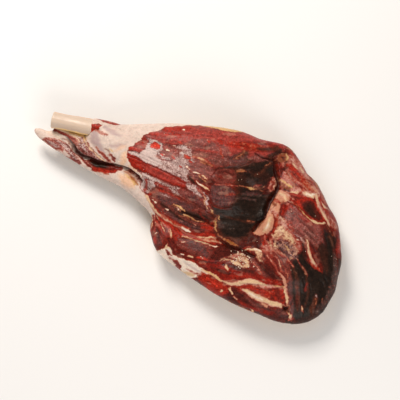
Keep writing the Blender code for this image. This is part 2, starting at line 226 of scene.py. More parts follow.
# Marks are laid in this order, each over the ones before it
MARKS = (
    # Ground: moist deep red wherever no mark is laid, and dried dark round the far end
    area("dark", (240, 60), (256, 40), (262, 5), (300, 20), (320, -60), (290, -130), (262, -150),
         (244, -126), (262, -118), (285, -90), (292, -50), (280, -10), (262, 20)),
    # Shank: the cream sheath, and the flap and cord on its near side
    area("sheath", (-310, -120), (-310, 70), (-100, 90), (-58, 92), (-62, 80), (-86, 63), (-97, 57),
         (-99, 49), (-112, 35), (-120, 26), (-122, 12), (-131, -10), (-124, -19), (-119, -26), (-108, -33),
         (-96, -35), (-84, -44), (-80, -52), (-64, -60), (-56, -62), (-48, -70), (-36, -78), (-30, -84),
         (-34, -92), (-44, -104), (-60, -130)),
    area("peach", (-122, -54), (-104, -49), (-90, -54), (-84, -62), (-94, -68), (-110, -66)),
    streak("yellow_fat", (-112, -50, 1), (-98, -52, 2), (-88, -57, 1.6)),
    streak("amber_fat", (-114, -45, 1), (-104, -47, 2), (-94, -50, 2.6), (-84, -54, 2)),
    streak("dark", (-112, -43, 0.6), (-100, -43.5, 1), (-90, -46, 1.2), (-83, -48, 0.8)),
    streak("peach", (-130, -15, 2), (-129, -24, 5), (-126, -34, 5)),
    streak("peach", (-136, -6, 1), (-142, -12, 2), (-146, -22, 1)),
    streak("peach", (-112, -34, 2), (-100, -36, 3)),
    streak("lilac", (-196, -12, 6), (-188, -24, 9), (-174, -32, 7), (-160, -36, 2)),
    streak("lilac", (-186, 4, 3), (-170, 2, 5), (-154, 4, 3)),
    streak("lilac", (-160, -20, 3), (-148, -14, 3), (-138, -4, 2)),
    area("bright", (-212, -14), (-205, -4), (-198, 3), (-191, 4), (-193, -5), (-198, -12), (-203, -22),
         (-208, -28), (-212, -22)),
    streak("red", (-206, -12, 1), (-200, -3, 2), (-195, 1, 1)),
    streak("rose", (-194, -9, 2), (-184, -8, 3), (-175, -6, 1.6)),
    streak("rose", (-203, 10, 1.6), (-190, 13, 2.4), (-176, 18, 2.6), (-160, 25, 1.4)),
    streak("red", (-200, 10, 0.6), (-186, 13, 1.2), (-172, 18, 1.2), (-164, 22, 0.6)),
    streak("rose", (-180, -34, 1.4), (-166, -38, 2.6), (-152, -42, 3), (-140, -46, 1.6)),
    streak("mauve", (-172, -37, 0.5), (-160, -40, 1.2), (-150, -44, 0.8)),
    streak("mauve", (-152, -33, 1.4), (-145, -36, 2.4), (-140, -40, 1.4)),
    streak("old_fat", (-166, -30, 0.4), (-159, -29, 1), (-154, -30, 0.6)),
    streak("yellow_fat", (-158, -25, 0.8), (-151, -26, 1.2)),
    area("haze", (-260, -43), (-235, -38), (-214, -32), (-203, -31), (-186, -39), (-166, -46), (-146, -48),
         (-150, -53), (-172, -58), (-193, -55), (-211, -51), (-232, -44), (-256, -46)),
    streak("lilac", (-222, -38, 2), (-206, -42, 3), (-190, -48, 2)),
    streak("mauve", (-226, -42, 1), (-210, -46, 2), (-194, -52, 2), (-176, -55, 1)),
    # Painted light: a sheath streak that lightens the tissue lying in the bone's shadow
    streak("sheath", (-256, -42, 1), (-240, -39, 2), (-226, -37, 2.6), (-212, -34, 2)),
    streak("rose", (-236, -41, 1), (-222, -40, 1.4), (-208, -44, 1)),
    streak("red", (-268, -46, 0.8), (-250, -44, 1), (-236, -43, 1), (-222, -45, 1), (-210, -49, 1)),
    streak("mauve", (-196, -43, 1), (-182, -49, 1.6), (-166, -53, 1)),
    streak("yellow_fat", (-232, -35, 1), (-218, -32, 2), (-207, -29, 2), (-203, -34, 1.2),
           (-203, -42, 0.8)),
    streak("cream_fat", (-230, -38, 0.8), (-216, -38, 1), (-206, -42, 0.8)),
    streak("cream_fat", (-204, -28, 1), (-199, -36, 1.4), (-188, -41, 1.6), (-174, -45, 1.4),
           (-160, -48, 1.2), (-148, -50, 0.6)),
    streak("old_fat", (-246, -53, 0.6), (-228, -50, 0.9), (-216, -54, 0.9), (-208, -62, 0.9),
           (-198, -68, 0.6)),
    streak("deep", (-204, -61, 1), (-190, -64, 2), (-176, -68, 2), (-164, -70, 1.6)),
    area("deep", (-182, -62), (-166, -56), (-150, -51), (-134, -47), (-122, -44), (-118, -46), (-132, -56),
         (-146, -64), (-161, -68), (-172, -66)),
    area("dried", (-178, -60), (-166, -56), (-150, -52), (-141, -53), (-146, -58), (-150, -65), (-161, -66),
         (-170, -64)),
    area("bright", (-162, -72), (-164, -66), (-154, -63), (-146, -60), (-136, -56), (-126, -50),
         (-128, -57), (-136, -63), (-148, -68)),
    streak("rust", (-158, -71, 1), (-146, -67, 1.4), (-134, -63, 1)),
    area("haze", (-266, -68), (-258, -62), (-248, -59), (-236, -56), (-222, -56), (-209, -61), (-196, -68),
         (-186, -72), (-196, -74), (-207, -71), (-218, -66), (-230, -65), (-240, -68), (-251, -70)),
    area("rose", (-264, -68), (-252, -61), (-238, -61), (-226, -65), (-222, -71), (-236, -74), (-252, -73)),
    area("haze", (-260, -67), (-248, -63), (-236, -63), (-227, -67), (-238, -71), (-252, -71)),
    streak("rose", (-256, -74, 1), (-240, -78, 2), (-222, -77, 2.4), (-204, -75, 2.4), (-190, -74, 1.4)),
    streak("mauve", (-236, -78, 0.6), (-218, -77, 1.2), (-200, -74, 1.4), (-188, -73, 0.8)),
    streak("rose", (-290, -57, 1), (-286, -60, 2)),
    # Painted light: a white streak that lightens the strip of sheath facing down, in shade
    streak("white_fat", (-266, -56, 1.4), (-252, -52, 2.4), (-240, -52, 1.6)),
    # Upper round: the smooth muscle along the far side
    area("red", (-119, 27), (-112, 35), (-99, 48), (-97, 57), (-86, 63), (-62, 80), (-40, 92), (0, 112),
         (40, 130), (100, 142), (96, 108), (60, 84), (40, 56), (18, 38), (-60, 26), (-96, 30)),
    area("bright", (-110, 34), (-98, 46), (-96, 56), (-84, 62), (-60, 80), (-56, 74), (-80, 56), (-92, 40)),
    area("bright", (-10, 84), (20, 96), (50, 112), (92, 130), (86, 114), (62, 102), (30, 88), (0, 78)),
    area("mauve", (-74, 30), (-56, 46), (-44, 64), (-26, 74), (-6, 78), (16, 80), (26, 70), (10, 54),
         (-20, 40), (-50, 28)),
    streak("bright", (-98, 42, 3), (-82, 50, 4), (-66, 60, 3)),
    streak("red", (-30, 50, 1.4), (-12, 58, 2), (4, 64, 1.4)),
    # Painted reflection: the grey-purple sheen of the light on the upper round, laid as plum lean
    area("plum", (-8, 42), (4, 54), (20, 66), (36, 76), (50, 78), (58, 74), (52, 64), (36, 56), (22, 48),
         (10, 40)),
    area("dusk", (22, 64), (32, 80), (46, 90), (54, 84), (58, 76), (50, 66), (36, 60)),
    streak("rust", (30, 98, 3), (50, 106, 4), (74, 117, 3)),
    streak("rust", (44, 96, 2), (60, 104, 3), (76, 112, 2)),
    streak("cherry", (34, 104, 1.4), (54, 113, 2), (74, 124, 2)),
    streak("brown", (58, 106, 2), (72, 112, 3), (86, 122, 5)),
    # Painted shade: a dark streak in the crease where the cleft meets the fold
    streak("dark", (84, 104, 4), (89, 112, 5), (94, 122, 4)),
    streak("sheath", (-90, 68, 2), (-60, 84, 1.6), (-38, 94, 1.2)),
    streak("yellow_fat", (-38, 94, 1.6), (-22, 101, 3), (0, 110, 3.6), (16, 117, 3), (36, 124, 1.6)),
    streak("white_fat", (-68, 67, 1), (-65, 69, 1.4)),
    streak("vivid", (-24, 73, 1.4), (-19, 73, 1.6)),
    streak("white_fat", (-25, 73, 0.7), (-22, 74, 1)),
    streak("rust", (-16, 80, 1), (4, 72, 1), (16, 60, 1.4)),
    streak("rust", (18, 96, 1), (34, 92, 1.4), (46, 90, 1)),
    # Pellicle: the dry silvery film over the middle of the shank end
    area("mauve", (-84, 32), (-70, 36), (-50, 44), (-30, 40), (-10, 40), (14, 34), (18, 20), (0, 8),
         (-12, 0), (-30, 20), (-60, 8), (-84, 6)),
    area("haze", (-118, 24), (-106, 28), (-92, 30), (-84, 28), (-88, 14), (-84, 5), (-70, 4), (-58, 10),
         (-52, 22), (-46, 36), (-38, 44), (-30, 40), (-30, 27), (-24, 17), (-16, 5), (-12, -5), (-16, -9),
         (-60, -12), (-90, -14), (-118, -17), (-130, -12), (-114, -4), (-106, 2), (-106, 12)),
    area("silver", (-110, 12), (-96, 14), (-86, 12), (-84, 4), (-72, 2), (-66, -4), (-74, -11), (-90, -14),
         (-118, -17), (-129, -12), (-114, -5), (-106, 0)),
    area("silver", (-112, 20), (-100, 27), (-86, 28), (-80, 22), (-84, 13), (-98, 10), (-108, 13)),
    streak("silver", (-84, 12, 1.4), (-70, 8, 1.4), (-62, 12, 1)),
    streak("haze", (-62, 36, 2), (-50, 40, 3.4), (-40, 43, 3)),
    streak("silver", (-56, 42, 1.4), (-48, 42, 2)),
    area("red", (-118, 24), (-110, 22), (-107, 12), (-106, 2), (-114, -5), (-131, -11)),
    streak("bright", (-130, -9, 1), (-118, 4, 1.6), (-116, 22, 1)),
    area("vivid", (-103, 20), (-99, 25), (-86, 25), (-84, 20), (-88, 15), (-101, 13)),
    streak("silver", (-48, 32, 2), (-34, 31, 2.4), (-24, 28, 1.4)),
    streak("white_fat", (-74, 23, 1), (-70, 25, 1.4)),
    streak("white_fat", (-78, 14, 0.8), (-73, 13, 1.2)),
    streak("vivid", (-78, 12, 1), (-74, 11, 1.4)),
    streak("rust", (-40, 30, 3), (-34, 31, 3)),
    streak("vivid", (-38, 31, 1), (-34, 31, 1.4)),
    streak("vivid", (-30, 27, 1), (-26, 27, 1.4)),
    streak("vivid", (-59, 17, 0.8), (-55, 17, 1.4)),
    streak("vivid", (-42, 10, 0.8), (-38, 10, 1.4)),
    streak("vivid", (-64, 45, 1), (-58, 46, 1.4)),
    streak("white_fat", (-70, 35, 0.6), (-66, 36, 1)),
    streak("rust", (-28, 37, 1.6), (-12, 40, 3), (8, 40, 1.6)),
    streak("rose", (-26, 37, 0.8), (-16, 40, 1.4), (-6, 41, 0.8)),
    streak("amber_fat", (-14, 35, 0.8), (-2, 37, 1.4), (8, 39, 0.8)),
    streak("yellow_fat", (-20, 39, 0.4), (-10, 40, 0.7)),
    streak("white_fat", (-32, 17, 0.6), (-27, 16, 1.4), (-22, 14, 0.8)),
    streak("white_fat", (-15, 13, 0.8), (-10, 15, 1.8), (-5, 16, 0.8)),
    streak("cream_fat", (-3, 15, 0.8), (3, 16, 1.4), (12, 14, 0.8)),
    streak("yellow_fat", (-4, 12, 0.6), (6, 10, 1), (14, 9, 0.6)),
    streak("white_fat", (-1, 2, 1), (6, 0, 1.8), (13, 0, 1)),
    streak("cream_fat", (12, 0, 1.2), (18, 0, 2), (24, 0, 0.8)),
    streak("dark", (-18, 4, 2), (-12, 1, 3.4), (-6, -2, 2.4)),
    streak("dark", (0, 8, 1.4), (10, 6, 1.6)),
    # Red stripe of shin muscle, and the pale web under it
    area("bright", (-127, -16), (-118, -13), (-96, -14), (-60, -12), (-30, -8), (-14, -9), (-10, -14),
         (-15, -20), (-34, -24), (-54, -28), (-76, -30), (-96, -32), (-108, -32), (-119, -26)),
    area("red", (-100, -20), (-80, -18), (-40, -14), (-18, -12), (-14, -15), (-30, -20), (-60, -25),
         (-80, -27)),
    area("haze", (-96, -34), (-80, -31), (-56, -29), (-34, -26), (-20, -23), (-14, -28), (-8, -35),
         (-38, -38), (-56, -40), (-60, -50), (-58, -60), (-66, -60), (-78, -54), (-84, -46)),
    streak("sheath", (-94, -36, 1.4), (-86, -38, 2), (-82, -46, 1.6)),
    streak("silver", (-84, -33, 1.6), (-70, -32, 2), (-54, -31, 1.4)),
    streak("silver", (-80, -42, 1.4), (-78, -50, 1.6), (-70, -58, 1.4)),
    streak("silver", (-66, -38, 1.4), (-58, -42, 1.4)),
    streak("red", (-58, -38, 1), (-44, -37, 1.4), (-30, -35, 0.8)),
    streak("red", (-75, -39, 1), (-71, -48, 2), (-66, -56, 1.6)),
    streak("red", (-60, -35, 1), (-48, -35, 1.6), (-36, -33, 1)),
    area("haze", (-16, -8), (0, -4), (14, -7), (24, -14), (36, -24), (46, -31), (42, -34), (30, -29),
         (20, -21), (5, -18), (-10, -17)),
    area("mauve", (-22, -29), (-12, -21), (2, -19), (18, -20), (29, -27), (34, -34), (20, -34), (2, -33),
         (-12, -33)),
    area("dusk", (2, -21), (16, -22), (26, -28), (20, -32), (4, -31)),
    streak("mauve", (14, -9, 1.6), (24, -17, 2.4), (36, -27, 2.4)),
    streak("rose", (12, -7, 0.6), (22, -12, 1), (32, -20, 1)),
    streak("rose", (22, -20, 0.6), (32, -26, 1), (42, -31, 0.8)),
    streak("red", (6, -8, 1), (14, -10, 1.4)),
    streak("silver", (22, -8, 0.8), (29, -14, 1.4), (36, -23, 1.4)),
    streak("cream_fat", (24, -14, 0.6), (30, -22, 0.9), (38, -29, 0.9)),
    streak("rose", (38, -24, 1), (46, -29, 1.6), (54, -32, 1)),
    streak("old_fat", (48, -34, 1.4), (58, -32, 2), (70, -32, 1)),
    streak("yellow_fat", (44, -29, 0.9), (54, -31, 1.8), (64, -31, 1.2)),
    # Under round: the long muscle below the middle
    area("wine", (-58, -61), (-50, -47), (-40, -42), (0, -37), (30, -33), (48, -35), (58, -42), (64, -50),
         (62, -60), (66, -66), (50, -74), (25, -77), (0, -77), (-30, -76), (-45, -71)),
    streak("dusk", (-42, -53, 5), (-10, -48, 6), (14, -42, 3)),
    streak("bright", (-58, -60, 1.6), (-51, -49, 3), (-40, -43, 3.4), (-26, -41, 2.4), (-10, -40, 0.9)),
    streak("mauve", (-48, -50, 2), (-34, -46, 4), (-16, -43, 2.4)),
    streak("haze", (-44, -48, 1.2), (-34, -46, 2), (-24, -45, 1.2)),
    streak("rose", (-40, -39, 0.6), (-14, -36, 0.9), (10, -35, 0.7)),
    streak("bright", (-56, -64, 1.6), (-40, -73, 2.2), (-14, -78, 1.8), (8, -77, 2), (28, -76, 1)),
    area("dusk", (-44, -56), (-30, -50), (-4, -44), (16, -42), (16, -47), (-8, -52), (-30, -60)),
    area("dried", (-10, -55), (4, -51), (18, -48), (32, -44), (44, -39), (56, -42), (60, -51), (44, -56),
         (30, -60), (12, -63), (-6, -61)),
    streak("deep", (26, -40, 1.4), (40, -46, 1.4), (52, -48, 2)),
    streak("dark", (-30, -62, 3), (-6, -68, 4), (20, -70, 4), (44, -66, 4)),
    streak("dusk", (-20, -70, 2), (10, -73, 2.4), (30, -70, 3), (46, -68, 3)),
    streak("wine", (44, -70, 1.6), (56, -66, 3)),
    streak("yellow_fat", (-13, -52, 0.8), (-4, -51, 1.6), (8, -53, 1.2)),
    streak("old_fat", (-16, -54, 0.6), (-4, -55, 1), (6, -57, 0.8)),
    streak("white_fat", (-7, -55, 0.6), (-1, -57, 0.8)),
    streak("yellow_fat", (12, -58, 1.4), (20, -56, 1.8), (28, -56, 1.4)),
    streak("old_fat", (4, -64, 1), (16, -60, 1), (30, -58, 0.8)),
    streak("amber_fat", (20, -62, 0.6), (34, -57, 0.9), (46, -53, 0.5)),
    streak("rust", (42, -58, 1.4), (52, -54, 2.4), (62, -47, 1.6)),
    streak("bright", (48, -62, 1.4), (58, -58, 3), (64, -52, 2)),
    streak("rust", (56, -66, 1), (62, -62, 2), (64, -56, 1)),
    streak("white_fat", (-46, -64, 1), (-41, -65, 1.6)),
    streak("white_fat", (-23, -66, 0.7), (-17, -66, 1.2)),
    streak("white_fat", (33, -64, 0.5), (36, -65, 0.9)),
    # Near side: corner muscle, the striped web and the near round
    area("deep", (-34, -84), (-20, -84), (10, -88), (26, -96), (26, -108), (16, -122), (6, -136),
         (-10, -136), (-20, -128), (-28, -108)),
    streak("bright", (-33, -88, 1.4), (-25, -108, 2), (-18, -124, 1.6)),
    streak("wine", (-12, -112, 5), (0, -120, 7)),
    streak("red", (-20, -104, 1.4), (-12, -114, 2.4), (-6, -126, 3)),
    streak("dusk", (-16, -104, 1), (-6, -114, 3), (2, -122, 3)),
    streak("bright", (-33, -90, 1), (-31, -108, 1.6), (-24, -126, 1.4)),
    streak("bright", (-26, -92, 1.4), (-12, -98, 2.4), (4, -104, 2)),
    area("bright", (-28, -84), (-8, -82), (14, -82), (34, -84), (60, -64), (78, -58), (96, -64), (84, -76),
         (66, -83), (46, -88), (28, -92), (22, -104), (6, -98), (-10, -92)),
    streak("rose", (-60, -64, 2.6), (-45, -74, 2.4), (-30, -80, 2), (-8, -82, 1.8), (8, -82, 2),
           (24, -81, 2.2), (38, -79, 1)),
    streak("cream_fat", (-60, -64, 2.2), (-45, -74, 1.6), (-30, -79, 1), (-8, -81, 0.9), (8, -81, 1.1),
           (24, -80, 1.2), (30, -80, 0.6)),
    streak("rust", (-20, -79, 1.4), (0, -79, 2), (16, -79, 2.4), (30, -77, 2)),
    streak("white_fat", (22, -80, 1.4), (30, -80, 2.2), (37, -80, 1)),
    streak("cream_fat", (-36, -85, 0.6), (-29, -96, 0.9), (-25, -106, 0.7)),
    streak("rose", (-31, -85, 0.8), (-22, -97, 1.2), (-18, -104, 0.8)),
    streak("cream_fat", (-26, -84, 0.5), (-12, -94, 0.8), (-2, -101, 0.6)),
    streak("rose", (-14, -88, 0.8), (2, -95, 1.3), (10, -100, 0.8)),
    streak("cream_fat", (4, -92, 0.8), (10, -97, 1.3), (12, -104, 0.7)),
    area("wine", (26, -96), (38, -91), (60, -85), (78, -82), (86, -90), (90, -100), (78, -107), (58, -110),
         (40, -112), (24, -108)),
    streak("dusk", (44, -98, 6), (66, -95, 7), (76, -98, 5)),
    area("oxblood", (84, -74), (104, -66), (120, -66), (116, -80), (108, -92), (98, -102), (86, -104),
         (88, -90)),
    streak("dark", (100, -68, 1), (112, -69, 2), (118, -74, 1.4)),
    streak("rust", (44, -84, 2), (60, -76, 4), (78, -66, 4), (90, -66, 2)),
    streak("cream_fat", (26, -93, 0.5), (44, -88, 1), (62, -83, 1.4), (78, -80, 1)),
    streak("cream_fat", (50, -80, 0.8), (62, -74, 1.2), (70, -68, 1), (80, -64, 1)),
    streak("pink_fat", (60, -80, 1), (70, -76, 2), (80, -72, 1.6), (90, -68, 0.8)),
    streak("white_fat", (76, -82, 0.6), (84, -79, 1.2), (90, -76, 0.6)),
    streak("white_fat", (34, -100, 0.8), (37, -98, 1.2)),
    streak("white_fat", (-13, -112, 0.8), (-11, -110, 1.2)),
    streak("cream_fat", (54, -116, 1.4), (60, -113, 1.8)),
    streak("vivid", (68, -110, 1), (78, -106, 2), (84, -106, 1)),
    streak("white_fat", (71, -107, 0.5), (77, -106, 1)),
    streak("white_fat", (42, -119, 0.8), (47, -118, 1)),
    streak("rust", (60, -121, 1), (76, -117, 2), (88, -110, 1.4)),
    streak("cream_fat", (84, -112, 0.6), (94, -104, 1), (104, -101, 0.8)),
    streak("haze", (86, -116, 0.8), (100, -111, 1), (112, -104, 0.8)),
    streak("cream_fat", (101, -100, 0.6), (106, -92, 0.8), (113, -82, 0.9), (120, -75, 0.7)),
    streak("cream_fat", (14, -117, 1), (14, -123, 2.4), (22, -122, 2.4)),
    area("white_fat", (3, -136), (14, -124), (24, -121), (32, -127), (42, -126), (52, -123), (70, -121),
         (85, -121), (98, -125), (92, -133), (84, -140), (70, -152), (20, -156), (2, -146)),
    streak("cream_fat", (4, -140, 2.4), (24, -146, 3), (50, -146, 3), (76, -140, 3)),
    streak("cherry", (16, -126, 1), (22, -128, 1.8), (29, -129, 1.2)),
    streak("rose", (26, -133, 1), (36, -134, 1.4), (54, -142, 2)),
    area("cherry", (35, -136), (42, -132), (52, -136), (56, -141), (46, -142)),
    streak("lilac", (54, -128, 2), (70, -129, 3), (86, -130, 4)),
    streak("rose", (62, -136, 1), (76, -136, 2), (90, -131, 2)),
    streak("bright", (84, -137, 1), (92, -134, 2)),
    # Near edge: deep red muscle between two white bands
    area("cherry", (84, -104), (104, -97), (126, -94), (150, -88), (176, -78), (200, -76), (216, -80),
         (206, -85), (190, -92), (170, -94), (158, -100), (150, -108), (140, -117), (122, -121),
         (100, -119), (86, -116)),
    streak("oxblood", (110, -98, 2), (136, -93, 3), (160, -84, 3)),
    streak("oxblood", (96, -112, 2), (114, -110, 3), (128, -106, 3)),
    streak("bright", (122, -114, 1), (140, -105, 2.4), (158, -95, 2)),
    streak("bright", (176, -84, 1.4), (194, -80, 2.4), (210, -78, 1.6)),
    streak("cream_fat", (112, -97, 0.8), (117, -99, 1.8), (123, -101, 1.4)),
    area("bright", (86, -138), (92, -128), (108, -127), (130, -127), (140, -124), (142, -136), (136, -146),
         (110, -150)),
    streak("vivid", (98, -132, 0.6), (112, -133, 1), (122, -135, 0.8)),
    streak("rust", (86, -128, 1), (108, -128, 1.8), (130, -128, 1.4)),
    area("oxblood", (140, -124), (160, -125), (190, -126), (215, -122), (240, -118), (250, -120),
         (240, -136), (200, -150), (150, -150), (142, -140)),
    streak("cherry", (156, -137, 2), (180, -139, 2.4), (200, -134, 3), (222, -128, 3)),
    streak("wine", (170, -127, 1.4), (190, -130, 2), (206, -133, 1.4)),
    area("rust", (140, -120), (152, -112), (164, -105), (180, -101), (196, -98), (204, -98), (206, -108),
         (192, -112), (176, -115), (160, -121)),
    streak("bright", (152, -116, 1.6), (168, -109, 2.4), (184, -106, 2.6), (200, -104, 3)),
    area("bright", (202, -91), (210, -83), (219, -83), (227, -94), (231, -104), (224, -108), (212, -104),
         (204, -99)),
    streak("deep", (208, -89, 3), (214, -94, 5.4), (222, -101, 4)),
    streak("rose", (84, -124, 1), (102, -122.5, 2.4), (122, -124, 1.8), (141, -120, 2.8), (151, -111, 4.6),
           (162, -101, 5.6), (178, -96, 5.6), (192, -94, 4.4), (204, -86, 2.4), (219, -80, 1.8)),
    streak("cream_fat", (84, -124, 1.2), (102, -122.5, 1.4), (122, -124, 0.8), (141, -120, 1.4),
           (151, -111, 2.8), (160, -102, 3.6), (170, -97, 3.4), (180, -95, 2.2), (190, -92, 1.2)),
    streak("yellow_fat", (92, -122, 0.8), (108, -122.5, 1), (124, -123.5, 0.6)),
    streak("yellow_fat", (200, -86, 0.4), (208, -82, 0.9), (218, -79, 0.8)),
    streak("rose", (158, -119, 1.4), (180, -118.5, 5), (204, -115.5, 5.4), (222, -111.5, 4.6),
           (235, -107, 3)),
    streak("cream_fat", (162, -118, 1), (168, -117.5, 2.6), (181, -117.5, 3.8), (192, -117, 3.8),
           (204, -115, 3.8), (214, -112.5, 3.4), (224, -110.5, 2.8), (234, -107, 2)),
    streak("white_fat", (172, -118, 0.8), (184, -118, 1.4), (196, -116, 1)),
    streak("cream_fat", (141, -127, 1.2), (144, -131, 2), (149, -133, 1.4)),
    streak("cream_fat", (128, -137, 1), (131, -139, 2)),
    streak("pink_fat", (154, -136, 1), (157, -137, 1.4)),
    streak("pink_fat", (200, -122, 1.4), (208, -122, 1.8)),
    streak("cream_fat", (190, -140, 0.8), (193, -141, 1.2)),
    streak("amber_fat", (150, -147, 0.8), (180, -144, 0.9), (215, -141, 0.9)),
    # The crumbly white fat, and the hole beside it, its shade painted dark
    area("mealy_fat", (102, -92), (112, -83), (121, -68), (130, -65), (143, -70), (151, -78), (144, -87),
         (130, -91), (118, -90)),
    streak("rose", (116, -80, 2), (124, -74, 3), (134, -74, 2)),
    streak("cream_fat", (120, -87, 1), (128, -87, 1.8), (136, -84, 1)),
    streak("cream_fat", (136, -74, 0.6), (142, -75, 1.1)),
    streak("cherry", (108, -87, 0.6), (118, -83, 0.8), (126, -82, 0.6)),
    streak("cherry", (132, -79, 0.6), (138, -82, 0.8)),
    area("oxblood", (116, -22), (138, -24), (146, -34), (146, -46), (132, -56), (118, -58), (106, -50)),
    # Painted shade: the dark inside the hole beside the crumbly fat, laid as dried lean along the cleft
    streak("dried", (114, -62, 1), (126, -61, 2), (136, -62, 3), (142, -64, 2)),
    # Dome: the black dried middle, with its oval bulge
    area("browning", (16, 40), (26, 49), (44, 62), (58, 76), (72, 92), (90, 108), (106, 100), (120, 70),
         (128, 20), (120, -40), (108, -56), (80, -60), (58, -40), (46, -22), (60, -4), (66, 20), (50, 36),
         (34, 46)),
    area("blackening", (52, 56), (66, 76), (90, 98), (108, 84), (120, 60), (126, 20), (120, -30),
         (112, -50), (88, -54), (72, -44), (62, -30), (72, 0), (70, 22), (56, 40)),
    area("dried", (72, 32), (84, 35), (108, 40), (120, 32), (127, 8), (121, -14), (118, -36), (106, -48),
         (88, -55), (75, -50), (68, -42), (56, -30), (42, -20), (60, -18), (74, -4), (76, 14)),
    area("dried", (58, 66), (70, 80), (84, 94), (96, 92), (108, 80), (106, 70), (96, 78), (84, 78),
         (72, 66)),
    streak("dark", (50, 44, 3), (62, 46, 4), (76, 48, 3)),
    streak("dried", (16, 38, 0.8), (27, 47, 1.4), (46, 59, 1.6), (58, 66, 1.6), (70, 82, 1.4), (84, 94, 1)),
    area("mauve", (54, 82), (57, 93), (72, 99), (85, 98), (75, 88), (62, 80)),
    streak("plum", (60, 86, 2), (74, 94, 2)),
    area("wine", (17, 24), (20, 37), (30, 46), (42, 50), (51, 46), (54, 36), (50, 27), (36, 20), (24, 18)),
    streak("oxblood", (22, 34, 2), (34, 42, 2), (46, 44, 2)),
    streak("deep", (28, 28, 2), (40, 34, 3)),
    streak("oxblood", (18, 16, 3), (28, 12, 2.4), (27, 0, 1.6)),
    area("dusk", (27, 0), (30, 12), (40, 21), (54, 23), (66, 18), (72, 6), (69, -6), (58, -15), (44, -17),
         (32, -12)),
    streak("rust", (52, 6, 0.6), (60, 12, 1), (67, 15, 0.6)),
    streak("deep", (28, -10, 0.8), (44, -19, 1), (58, -18, 1), (74, -9, 0.6)),
    streak("rose", (28, 13, 0.6), (40, 19, 0.9), (52, 26, 1), (62, 31, 0.7)),
    streak("brown", (34, 72, 3), (40, 80, 5), (46, 90, 3)),
    streak("old_fat", (34, 72, 0.8), (40, 79, 1.6), (40, 90, 1.4)),
    streak("old_fat", (30, 66, 0.6), (38, 72, 1)),
    streak("dark", (46, 80, 1.4), (54, 78, 1.4), (66, 84, 1)),
    streak("old_fat", (44, 52, 1), (50, 55, 2), (58, 58, 1.6)),
    streak("amber_fat", (48, 52, 0.6), (56, 56, 1), (62, 59, 0.6)),
    streak("dried", (62, 54, 1.4), (72, 55, 2.4), (84, 58, 2.4)),
    streak("brown", (80, 62, 1), (86, 76, 2), (92, 96, 2)),
    streak("old_fat", (94, 104, 0.9), (90, 94, 0.8), (85, 84, 0.6)),
    streak("amber_fat", (96, 107, 0.6), (93, 100, 0.7)),
    streak("old_fat", (62, 32, 0.9), (72, 35, 1.1), (82, 38, 1.4), (94, 42, 1), (108, 46, 0.6)),
    streak("yellow_fat", (76, 37, 0.7), (83, 38.5, 1.5), (90, 40, 0.8)),
    streak("rose", (86, 42, 0.6), (92, 48, 1.1), (96, 53, 0.6)),
    streak("old_fat", (92, 44, 0.6), (98, 48, 1), (102, 54, 0.6)),
    streak("ash", (76, 24, 1.4), (90, 30, 2.2), (102, 34, 1.2)),
    streak("ash", (72, 12, 1), (86, 20, 1.6), (100, 24, 1)),
    streak("dusk", (80, 28, 0.8), (92, 33, 1.2), (104, 36, 0.8)),
    streak("brown", (60, -27, 0.5), (80, -24, 0.8), (104, -16, 0.9), (118, -12, 0.5)),
    streak("yellow_fat", (61, -30, 0.8), (65, -35, 1.2)),
    streak("old_fat", (58, -32, 1.4), (62, -40, 1.8), (65, -50, 2.2), (74, -57, 1.6)),
    streak("yellow_fat", (64, -42, 0.5), (66, -50, 0.9), (72, -56, 0.6)),
    streak("ash", (68, -38, 2.4), (72, -46, 3), (78, -42, 2)),
    streak("old_fat", (108, -12, 1.6), (117, -10, 1.6)),
    streak("brown", (70, -58, 1.4), (84, -61, 3.4), (98, -62, 4.4), (112, -60, 3.4), (120, -58, 1.4)),
    streak("amber_fat", (76, -58.5, 0.8), (88, -60, 2), (99, -60, 2.6), (109, -59, 2.4), (117, -57, 1)),
    streak("ash", (124, -32, 0.8), (136, -32, 0.9), (128, -46, 0.8), (124, -32, 0.8)),
    streak("rose", (135, -50, 0.6), (126, -57, 0.6)),
    # The far end of the fold: knob, flake and the mottled fat behind it
    area("bruised_fat", (112, 80), (104, 94), (104, 106), (110, 128), (122, 136), (150, 128), (176, 114),
         (206, 96), (234, 86), (250, 64), (244, 48), (222, 56), (206, 66), (186, 80), (172, 74), (158, 70),
         (146, 64), (134, 62), (122, 66)),
    streak("deep", (104, 98, 4), (112, 92, 5), (118, 84, 2)),
    # Painted shade: the dark of a hole beside the knob, laid as oxblood lean
    streak("oxblood", (110, 112, 2), (116, 103, 4), (114, 94, 3)),
    streak("dark", (106, 86, 1.4), (112, 84, 1.6), (117, 80, 1)),
    streak("bright", (116, 106, 3), (132, 104, 3), (150, 97, 2)),
    streak("deep", (122, 98, 1), (134, 97, 1.6), (146, 92, 1)),
    streak("rust", (118, 97, 2), (130, 93, 4), (142, 87, 2.4)),
    streak("rose", (124, 95, 1), (132, 92, 1.6), (140, 87, 1)),
    streak("rust", (148, 96, 4), (162, 92, 5), (176, 90, 3)),
    streak("deep", (140, 82, 1), (150, 84, 2), (162, 84, 2)),
    streak("rose", (116, 118, 1.4), (128, 114, 2.4), (142, 109, 2.4), (154, 104, 1.6)),
    streak("cream_fat", (120, 114, 0.8), (126, 111, 1.2), (132, 108, 0.8)),
    streak("cream_fat", (138, 112, 0.8), (146, 108, 1.2)),
    streak("bright", (104, 131, 3), (126, 127, 3), (146, 121, 3), (170, 108, 3)),
    streak("rust", (152, 114, 3), (170, 104, 3), (186, 96, 2)),
    streak("amber_fat", (100, 132, 1.4), (112, 132, 1.8), (128, 127, 1.6), (148, 118, 1.8), (166, 108, 1.8),
           (183, 98, 1.6), (206, 88, 1.6), (226, 79, 1.2)),
    streak("pink_fat", (172, 94, 2), (182, 90, 2.4), (190, 84, 1.4)),
